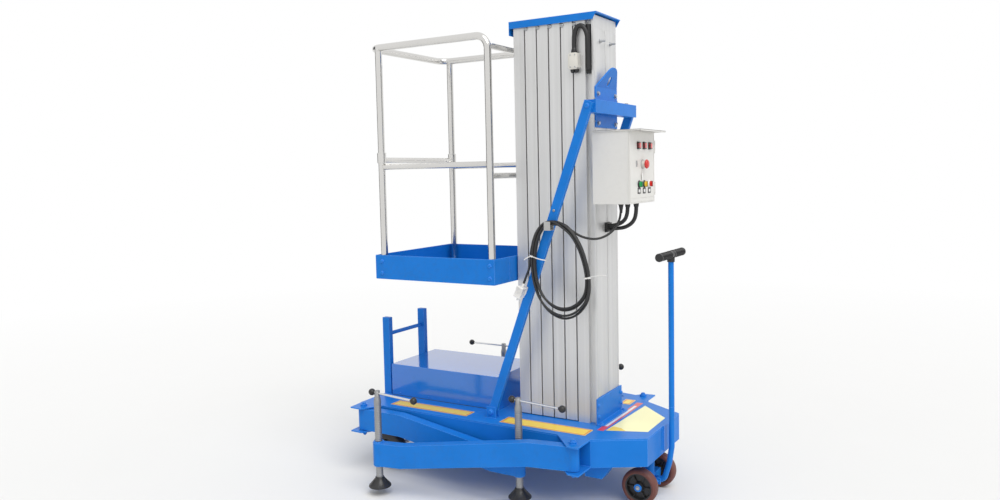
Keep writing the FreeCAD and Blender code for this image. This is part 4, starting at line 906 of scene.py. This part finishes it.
for tag, (degrees, back, ahead) in jacks.items():
    footLow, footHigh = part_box("foot_" + tag)
    x, y = (footLow.x + footHigh.x) / 2, (footLow.y + footHigh.y) / 2
    neck, rise = jackShape["neck"], jackShape["ball"]
    mesh = bmesh.new()
    threadedColumn(mesh, x, y)
    lathe(mesh, [(0, 0.0166), (0.010, 0.0168), (0.022, neck + 0.0022), (0.028, neck),
                 (0.0575, neck), (0.059, neck - 0.0015)],
          (x, y, jackShape["smooth"] - 0.001), (0, 0, 1), 36)
    way = Vector((math.cos(math.radians(degrees)), math.sin(math.radians(degrees)), 0))
    at = Vector((x, y, jackShape["barHeight"]))
    sweep(mesh, [at + way * back, at + way * ahead], jackShape["bar"], 20, 1)
    weldRing(mesh, at + way * neck, way, 0.0052, 0.0008, 20)
    for end, sign in ((back, -1), (ahead, 1)):
        lathe(mesh, [(-rise * math.cos(math.pi * k / 12), rise * math.sin(math.pi * k / 12))
                     for k in range(13)], at + way * end, way, 24, 2)
        lathe(mesh, [(rise * 0.90, 0.0075), (rise * 1.12, 0.0066)], at + way * end,
              way * -sign, 20, 2)
    finishMesh("jackScrew_" + tag, mesh, [threadSteel, chromeSteel, blackPlastic],
               "jack_" + tag, angle=50, replaces=("screw_" + tag,))
    mesh = bmesh.new()
    lathe(mesh, [(0, 0), (0, 0.0490), (0.0015, 0.0515), (0.0050, 0.0520), (0.0075, 0.0508),
                 (0.0085, 0.0485), (0.0260, 0.0318), (0.0370, 0.0232), (0.0440, 0.0212),
                 (0.0460, 0.0200), (0.0460, 0.0172), (0.0380, 0.0172)],
          (x, y, footLow.z), (0, 0, 1), 48, ends=False)
    for k in range(jackShape["ribs"]):
        turn = Matrix.Translation((x, y, footLow.z)) @ Matrix.Rotation(
            2 * math.pi * k / jackShape["ribs"], 4, "Z")
        sweep(mesh, [turn @ Vector(p) for p in ((0.0490, 0, 0.0085), (0.0330, 0, 0.0255),
                                                (0.0245, 0, 0.0362))], 0.0010, 6)
    finishMesh("jackPad_" + tag, mesh, blackPlastic, "jack_" + tag,
               replaces=("foot_" + tag,))
    # nuts and weld where the column leaves the arm
    mesh = bmesh.new()
    bore = jackShape["nutBore"]
    weldRing(mesh, (x, y, jackShape["armTop"]), (0, 0, 1), 0.0262, 0.0016, 40)
    for z, up, wide, high in ((jackShape["armTop"] - 0.0002, 1, 0.0245, 0.0075),
                              (jackShape["armFoot"] + 0.0002, -1, 0.0235, 0.005)):
        chamfer = 0.0015 if up > 0 else 0.001
        lathe(mesh, [(0, bore), (0, wide), (high - chamfer, wide), (high, wide - 0.0015),
                     (high, bore)], (x, y, z), (0, 0, up), 40, ends=False)
    finishMesh("armNut_" + tag, mesh, bluePaint, "swing_" + tag)

# pins of the arm brackets: a bolt head above and its nut below
pins = {"at": [(0.460, -0.407), (0.460, 0.407), (-0.710, -0.372), (-0.710, 0.372)],
        "top": 0.3378, "foot": 0.1982, "size": 0.0118}
mesh = bmesh.new()
for x, y in pins["at"]:
    hexBolt(mesh, (x, y, pins["top"]), (0, 0, 1), pins["size"])
    hexBolt(mesh, (x, y, pins["foot"]), (0, 0, -1), pins["size"], nut=True)
finishMesh("bracketPins", mesh, bluePaint)

wheelShape = {
    "front": {"at": (0.646, 0.120, 0.080), "radius": 0.080, "rim": 0.061, "hub": 0.022,
              "tread": treadRed, "slot": "wheel_tread", "axleOn": "steering"},
    "rear": {"at": (-0.630, 0.275, 0.095), "radius": 0.095, "rim": 0.060, "hub": 0.023,
             "tread": treadBlack, "slot": "rear_tread", "axleOn": "chassis"},
    "half": 0.025, "bore": 0.0101, "nut": 0.0088, "nutOut": 0.0302,
    "spokes": 6, "spokeIn": 0.020, "spokeEnd": 0.006, "spokeAway": 0.0105,
    "spokeHalf": (0.0022, 0.0055),
}


def bothSides(profile):
    # a profile drawn from the outer face to the middle, and its mirror image
    return [(-along, radius) for along, radius in profile] + [
        (along, radius) for along, radius in reversed(profile)]


def makeWheel(kind, side, sign):
    given, half, bore = wheelShape[kind], wheelShape["half"], wheelShape["bore"]
    x, y, z = given["at"]
    radius, rim, hub = given["radius"], given["rim"], given["hub"]
    at, axis, body = (x, sign * y, z), (0, sign, 0), "%s_wheel_%s" % (kind, side)
    mesh = bmesh.new()
    profile = bothSides([
        (half - 0.0015, rim), (half, rim + 0.004), (half - 0.0005, radius - 0.010),
        (half - 0.003, radius - 0.0045), (half - 0.008, radius - 0.0012), (0.004, radius)])
    lathe(mesh, profile + profile[:1], at, axis, 72, ends=False)
    for ring in (rim + 0.007, radius - 0.013):
        for face in sides:
            weldRing(mesh, Vector(at) + Vector((0, face * (half - 0.0002), 0)), axis, ring,
                     0.0006, 64)
    finishMesh("%sTread_%s" % (kind, side), mesh, given["tread"], body,
               replaces=("%s_%s_tyre" % (kind, side),))
    mesh = bmesh.new()
    profile = bothSides([
        (hub, bore), (hub, 0.020), (hub - 0.004, 0.022), (0.006, 0.024), (0.005, rim - 0.010),
        (half - 0.004, rim - 0.006), (half - 0.002, rim)])
    lathe(mesh, profile + profile[:1], at, axis, 64, ends=False)
    inner, outer = wheelShape["spokeIn"], rim - wheelShape["spokeEnd"]
    for k in range(wheelShape["spokes"]):
        turn = frameAlong(axis, at) @ Matrix.Rotation(
            2 * math.pi * k / wheelShape["spokes"], 4, "Z")
        for face in sides:
            softBlock(mesh, ((outer + inner) / 2, 0, face * wheelShape["spokeAway"]),
                      ((outer - inner) / 2, *wheelShape["spokeHalf"]), 0.0012, turn=turn)
    finishMesh("%sCentre_%s" % (kind, side), mesh, blackPlastic, body,
               replaces=("%s_%s_hub" % (kind, side),))
    mesh = bmesh.new()
    hexBolt(mesh, (x, sign * (y + wheelShape["nutOut"]), z), axis, wheelShape["nut"])
    finishMesh("%sAxleNut_%s" % (kind, side), mesh, zincSteel, given["axleOn"])


for side, sign in (("near", -1), ("far", 1)):
    makeWheel("front", side, sign)
    makeWheel("rear", side, sign)
print("wheels and jacks done")

gripShape = {"x": 0.751, "z": 1.100, "half": 0.152, "radius": 0.0178, "ridges": 64,
             "ridgeAt": 0.025, "groove": 0.0012, "collarZ": 1.068, "weldZ": 0.420,
             "pivot": (0.688, 0.0205, 0.075), "bolt": 0.0078}
half, grip, count = (gripShape[k] for k in ("half", "radius", "ridges"))
ridges = [(gripShape["ridgeAt"] + (half - 0.037) * k / count,
           grip - gripShape["groove"] * (k % 2)) for k in range(count + 1)]
profile = [(0.0, grip - 0.0015), (0.012, grip - 0.0015), (0.014, grip + 0.0006),
           (0.021, grip + 0.0006), (0.023, grip - 0.0012)] + ridges + [
    (half - 0.010, grip - 0.0010), (half - 0.008, grip + 0.0004),
    (half - 0.002, grip + 0.0002), (half, grip - 0.0030)]
mesh = bmesh.new()
lathe(mesh, [(-along, radius) for along, radius in reversed(profile[1:])] + profile,
      (gripShape["x"], 0, gripShape["z"]), (0, 1, 0), 40)
finishMesh("towHandle", mesh, blackPlastic, "tow", angle=25, replaces=("tow_grip",))
mesh = bmesh.new()
lathe(mesh, [(0, 0.0126), (0, 0.0168), (0.018, 0.0168), (0.020, 0.0126)],
      (gripShape["x"], 0, gripShape["collarZ"]), (0, 0, 1), ends=False)
finishMesh("towCollar", mesh, blackPlastic, "tow")
mesh = bmesh.new()
weldRing(mesh, (gripShape["x"], 0, gripShape["weldZ"]), (0, 0, 1), 0.0126, 0.0011, 32)
x, y, z = gripShape["pivot"]
for side in sides:
    hexBolt(mesh, (x, side * y, z), (0, side, 0), gripShape["bolt"], nut=side > 0)
finishMesh("towFittings", mesh, bluePaint, "tow")

# blank labels on the deck: rectangles as low x, low y, high x, high y
labels = {
    "strips": [(-0.606, -0.290, -0.155, -0.213), (0.030, -0.294, 0.463, -0.206),
               (0.405, 0.236, 0.456, 0.318)],
    "stripe": (0.477, -0.198, 0.507, 0.285), "stripeInner": (0.4855, -0.130, 0.4985, 0.225),
    "nose": [(0.514, -0.186), (0.685, -0.122), (0.683, 0.105), (0.531, 0.250)],
    "noseCorner": [(0.514, -0.186), (0.596, -0.155), (0.560, -0.125), (0.519, -0.120)],
    "thick": 0.0004, "border": 0.0050, "layer": 0.0001,
}


def flatPlate(mesh, corners, layer, paint=0):
    low = deckTop - (0 if layer else labels["layer"])
    high = deckTop + labels["thick"] + labels["layer"] * layer
    rings = [[mesh.verts.new((x, y, z)) for x, y in corners] for z in (low, high)]
    bridge(mesh, rings, paint)
    closeEnds(mesh, rings, paint)


def rectangle(x0, y0, x1, y1, inset=0):
    x0, y0, x1, y1 = x0 + inset, y0 + inset, x1 - inset, y1 - inset
    return [(x0, y0), (x1, y0), (x1, y1), (x0, y1)]


mesh = bmesh.new()
for strip in labels["strips"]:
    for layer, paint in enumerate((0, 1, 0)):
        flatPlate(mesh, rectangle(*strip, labels["border"] * layer), layer, paint)
flatPlate(mesh, rectangle(*labels["stripe"]), 0, 1)
flatPlate(mesh, rectangle(*labels["stripeInner"]), 1, 3)
flatPlate(mesh, labels["nose"], 0, 2)
flatPlate(mesh, labels["noseCorner"], 1)
finishMesh("deckLabels", mesh, [labelYellow, labelRed, labelPale, labelWhite])

# screws of the power unit's cover, and a rubber seal along three sides of its foot
cover = {"in": 0.05, "up": 0.014, "screws": (0.0034, 0.0042), "backY": 0.055, "backIn": 0.06,
         "seal": 0.0016}
low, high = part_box("power_cover")
z = deckTop + cover["up"]
small, large = cover["screws"]
mesh = bmesh.new()
for k in range(4):
    x = low.x + cover["in"] + (high.x - low.x - 2 * cover["in"]) * k / 3
    panScrew(mesh, (x, low.y, z), (0, -1, 0), small)
    panScrew(mesh, (x, high.y, z), (0, 1, 0), large)
for y in (low.y + cover["backIn"], cover["backY"], high.y - cover["backIn"]):
    panScrew(mesh, (low.x, y, z), (-1, 0, 0), large)
finishMesh("coverScrews", mesh, glossyBlue)
mesh = bmesh.new()
z = deckTop + 0.0006
for start, end in (((low.x, low.y), (high.x, low.y)), ((low.x, high.y), (high.x, high.y)),
                   ((low.x, low.y), (low.x, high.y))):
    sweep(mesh, [(*start, z), (*end, z)], cover["seal"], 6)
finishMesh("coverSeal", mesh, blackRubber)

# welds where plates and posts stand on the deck, and the posts' end caps
step = {"wide": 0.028, "deep": 0.042, "tubeZ": 0.645, "tube": 0.0103}
deckBeads = [  # x of both ends, y on either side, height over the deck, radius (m)
    (-0.061, -0.011, 0.2237, 0, 0.0024), (-0.061, -0.011, 0.2563, 0, 0.0024),
    (0.449, 0.485, 0.140, 0.003, 0.0022)]
forkBead = {"x": 0.7155, "y": 0.0202, "z": (0.226, 0.326), "radius": 0.0022}
low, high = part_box("step_frame")
x0, x1 = low.x, low.x + step["deep"]
postRows = ((low.y, low.y + step["wide"]), (high.y - step["wide"], high.y))
mesh = bmesh.new()
for y0, y1 in postRows:
    for start, end in (((x0, y0), (x1, y0)), ((x0, y1), (x1, y1)), ((x1, y0), (x1, y1))):
        weldBead(mesh, (*start, deckTop), (*end, deckTop))
for y in (postRows[0][1], postRows[1][0]):
    weldRing(mesh, ((x0 + x1) / 2, y, step["tubeZ"]), (0, 1, 0), step["tube"], 0.0018, 32)
for side in sides:
    for start, end, y, up, radius in deckBeads:
        weldBead(mesh, (start, side * y, deckTop + up), (end, side * y, deckTop + up),
                 radius)
    start, end = [(forkBead["x"], side * forkBead["y"], z) for z in forkBead["z"]]
    weldBead(mesh, start, end, forkBead["radius"])
finishMesh("deckWelds", mesh, bluePaint)
mesh = bmesh.new()
for y0, y1 in postRows:
    softBox(mesh, (x0, y0, high.z - 0.001), (x1, y1, high.z + 0.002))
finishMesh("stepCaps", mesh, bluePaint)
print("deck done")

trayLow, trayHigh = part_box("basket_tray")
tray = {"half": 0.325, "boltZ": (0.997, 1.054), "bolt": 0.0092, "lipY": 0.3235, "lipX": 0.0015,
        "lip": 0.0018, "lipLow": 0.0045, "lipHigh": 0.0008, "seam": (0.1905, 0.1935)}
posts = {"x": (-0.602, 0.017), "y": 0.304, "rail": 2.086, "mid": 1.513, "foot": 0.970,
         "saddles": (2.040, 1.460), "collars": (1.5345, 1.5795), "tube": 0.0143}
mesh = bmesh.new()
hexBolts(mesh, [((x, side * tray["half"], z), (0, side, 0)) for x in posts["x"]
                for side in sides for z in tray["boltZ"]], tray["bolt"])
finishMesh("trayBolts", mesh, bluePaint, "platform")

# folded lip on the tray's top edge, its corners and end seams
half, lip = tray["half"], tray["lip"]
low, high = trayHigh.z - tray["lipLow"], trayHigh.z + tray["lipHigh"]
mesh = bmesh.new()
for side in sides:
    y = side * tray["lipY"]
    softBox(mesh, (trayLow.x, y - lip, low), (trayHigh.x, y + lip, high))
for x in (trayLow.x + tray["lipX"], trayHigh.x - tray["lipX"]):
    softBox(mesh, (x - lip, -half, low), (x + lip, half, high))
for x in (trayLow.x, trayHigh.x):
    for y in (-half, half):
        weldBead(mesh, (x, y, trayLow.z + 0.002), (x, y, trayHigh.z), 0.0014)
for side in sides:
    y0, y1 = sorted(side * y for y in tray["seam"])
    softBox(mesh, (trayHigh.x - 0.0005, y0, trayLow.z + 0.002),
            (trayHigh.x + 0.0012, y1, trayHigh.z - 0.001), 0.0004)
finishMesh("trayEdges", mesh, bluePaint, "platform")

floorTread = {"pitch": 0.030, "long": 0.0115, "wide": 0.0028, "high": 0.0013, "z": 0.969,
              "start": (0.022, -0.31), "deep": 0.62, "clear": 0.03, "sunk": -0.0001}


def makeFloorTread():
    mesh = bmesh.new()
    step, clear = floorTread["pitch"], floorTread["clear"]
    for i in range(int((trayHigh.x - trayLow.x - 0.03) / step)):
        for j in range(int(floorTread["deep"] / step)):
            x = trayLow.x + floorTread["start"][0] + step * (i + 0.5)
            y = floorTread["start"][1] + step * (j + 0.5)
            if any(abs(x - px) < clear and abs(abs(y) - posts["y"]) < clear
                   for px in posts["x"]):
                continue
            turn = Matrix.Translation((x, y, floorTread["z"])) @ Matrix.Rotation(
                math.radians(45 if (i + j) % 2 else -45), 4, "Z")
            long, wide, sunk = (floorTread[k] for k in ("long", "wide", "sunk"))
            a, b, c, d, e, f = [mesh.verts.new(turn @ Vector(p)) for p in (
                (-long, 0, sunk), (long, 0, sunk), (0, -wide, sunk), (0, wide, sunk),
                (-long * 0.7, 0, floorTread["high"]), (long * 0.7, 0, floorTread["high"]))]
            for face in ((a, c, e), (a, e, d), (b, f, c), (b, d, f), (c, f, e), (d, e, f)):
                mesh.faces.new(face)
    finishMesh("floorTread", mesh, blueFloor, "platform", angle=60)


makeFloorTread()

# welds where rails meet, and at the feet of the posts
mesh = bmesh.new()
rear, front = posts["x"]
for side in sides:
    y = side * posts["y"]
    for x in (rear + 0.0165, front - 0.0165):
        weldRing(mesh, (x, y, posts["mid"]), (1, 0, 0), posts["tube"], 0.0012)
    weldRing(mesh, (rear, y, posts["rail"] - 0.0163), (0, 0, 1), 0.0173, 0.0013)
    for z in posts["saddles"]:
        weldRing(mesh, (front, y - side * 0.0165, z), (0, 1, 0), posts["tube"], 0.0012)
    for x in posts["x"]:
        weldRing(mesh, (x, y, posts["foot"]), (0, 0, 1), 0.0178, 0.0016)
finishMesh("railWelds", mesh, steelTube, "platform")
mesh = bmesh.new()
hexBolts(mesh, [((front - 0.0138, y, z), (-1, 0, 0)) for z in posts["saddles"]
                for y in (-0.018, 0.018)], 0.0062)
finishMesh("saddleBolts", mesh, zincSteel, "platform")
mesh = bmesh.new()
for side in sides:
    for z in posts["collars"]:
        weldRing(mesh, (rear, side * posts["y"], z), (0, 0, 1), 0.0222, 0.0010)
finishMesh("collarRims", mesh, steelTube, "entry")
print("basket done")

floor = {"reach": 40.0, "sunk": -0.0005, "colour": (0.81, 0.81, 0.805, 1), "mottle": 0.985,
         "near": 2.2, "far": 7.5}


def stageMesh(name, mesh, material, shown=True):
    data = bpy.data.meshes.new(name)
    mesh.to_mesh(data)
    mesh.free()
    data.materials.append(material)
    piece = addObject(name, data)
    piece.visible_camera = piece.visible_diffuse = piece.visible_shadow = shown
    return piece


# 1 for what the camera sees, by itself or in a reflection
def seenRays(tree):
    path = addNode(tree, "LightPath")
    return mathNode(tree, "MAXIMUM", path.outputs["Is Camera Ray"],
                    path.outputs["Is Glossy Ray"])


def makeFloor():
    material, tree, shader = startMaterial("paleFloor")
    where = addNode(tree, "TexCoord").outputs["Object"]
    tone = ramp(tree, noise(tree, where, 1.3, 6.0, 0.6), 0.2, 0.8)
    pale = tuple(c * floor["mottle"] for c in floor["colour"][:3]) + (1,)
    tree.links.new(mixColour(tree, tone, pale, floor["colour"]), shader.inputs["Base Color"])
    shader.inputs["Roughness"].default_value = 0.9
    away = addNode(tree, "VectorMath", {0: where}, operation="LENGTH").outputs["Value"]
    seen = seenRays(tree)
    fade = times(tree, ramp(tree, away, floor["near"], floor["far"]), seen)
    white = addNode(tree, "Emission", {"Color": (1, 1, 1, 1), "Strength": 1.0})
    mix = addNode(tree, "MixShader", {0: fade, 1: shader.outputs[0], 2: white.outputs[0]})
    tree.links.new(mix.outputs[0], tree.nodes["Material Output"].inputs["Surface"])
    mesh = bmesh.new()
    bmesh.ops.create_grid(mesh, x_segments=1, y_segments=1, size=floor["reach"])
    stageMesh("floor", mesh, material).location.z = floor["sunk"]


makeFloor()

# dark studio flags far beside the set: only reflections show them
flags = {"places": [(9.0, 1.5), (-8.0, -1.0)], "wide": 3.4, "high": 6.0,
         "shade": (0.05, 0.05, 0.055)}
for k, (x, y) in enumerate(flags["places"]):
    material, tree, shader = startMaterial("flagCloth_%d" % k)
    shader.inputs["Base Color"].default_value = flags["shade"] + (1,)
    shader.inputs["Roughness"].default_value = 1.0
    away, up = Vector((x, y, 0)), Vector((0, 0, flags["high"]))
    across = away.cross(up).normalized() * (flags["wide"] / 2)
    mesh = bmesh.new()
    mesh.faces.new([mesh.verts.new(p) for p in (
        away - across, away + across, away + across + up, away - across + up)])
    stageMesh("flag_%d" % k, mesh, material, shown=False)

sun = {"from": (0.78, -0.50, 1.25), "strength": 1.7, "wide": 45, "colour": (1.0, 0.99, 0.97)}
light = bpy.data.lights.new("sun", "SUN")
light.energy, light.angle = sun["strength"], math.radians(sun["wide"])
light.color = sun["colour"]
turn = Vector(sun["from"]).to_track_quat("Z", "Y").to_matrix().to_4x4()
addObject("sun", light).matrix_world = turn

# backgrounds: colour and strength for light, and for what is seen
studio = {"light": ((0.99, 0.995, 1.0, 1), 0.75), "seen": ((1, 1, 1, 1), 1.0)}


def makeWorld():
    world = bpy.data.worlds.new("studio")
    bpy.context.scene.world = world
    world.use_nodes = True
    tree = world.node_tree
    tree.nodes.clear()
    plain, white = [addNode(tree, "Background", {"Color": colour, "Strength": strength})
                    for colour, strength in (studio["light"], studio["seen"])]
    mix = addNode(tree, "MixShader", {0: seenRays(tree), 1: plain.outputs[0],
                                      2: white.outputs[0]})
    out = tree.nodes.new("ShaderNodeOutputWorld")
    tree.links.new(mix.outputs[0], out.inputs[0])


makeWorld()
bpy.context.scene.view_settings.view_transform = "Standard"

cameraPlace = {"at": (1.943, -3.434, 1.472), "azimuth": 31.01, "down": 4.36, "roll": -1.21,
               "lens": 29.35, "shift": -0.0148, "sensor": 36.0}


def makeCamera():
    azimuth, down, roll = (math.radians(cameraPlace[k]) for k in ("azimuth", "down", "roll"))
    ahead = Vector((-math.sin(azimuth) * math.cos(down), math.cos(azimuth) * math.cos(down),
                    -math.sin(down)))
    right = ahead.cross(Vector((0, 0, 1))).normalized()
    up = right.cross(ahead)
    across = right * math.cos(roll) + up * math.sin(roll)
    above = up * math.cos(roll) - right * math.sin(roll)
    data = bpy.data.cameras.new("camera")
    data.lens, data.sensor_width, data.shift_y = (
        cameraPlace[k] for k in ("lens", "sensor", "shift"))
    camera = addObject("camera", data)
    camera.matrix_world = Matrix.Translation(cameraPlace["at"]) @ Matrix(
        (across, above, -ahead)).transposed().to_4x4()
    bpy.context.scene.camera = camera


makeCamera()
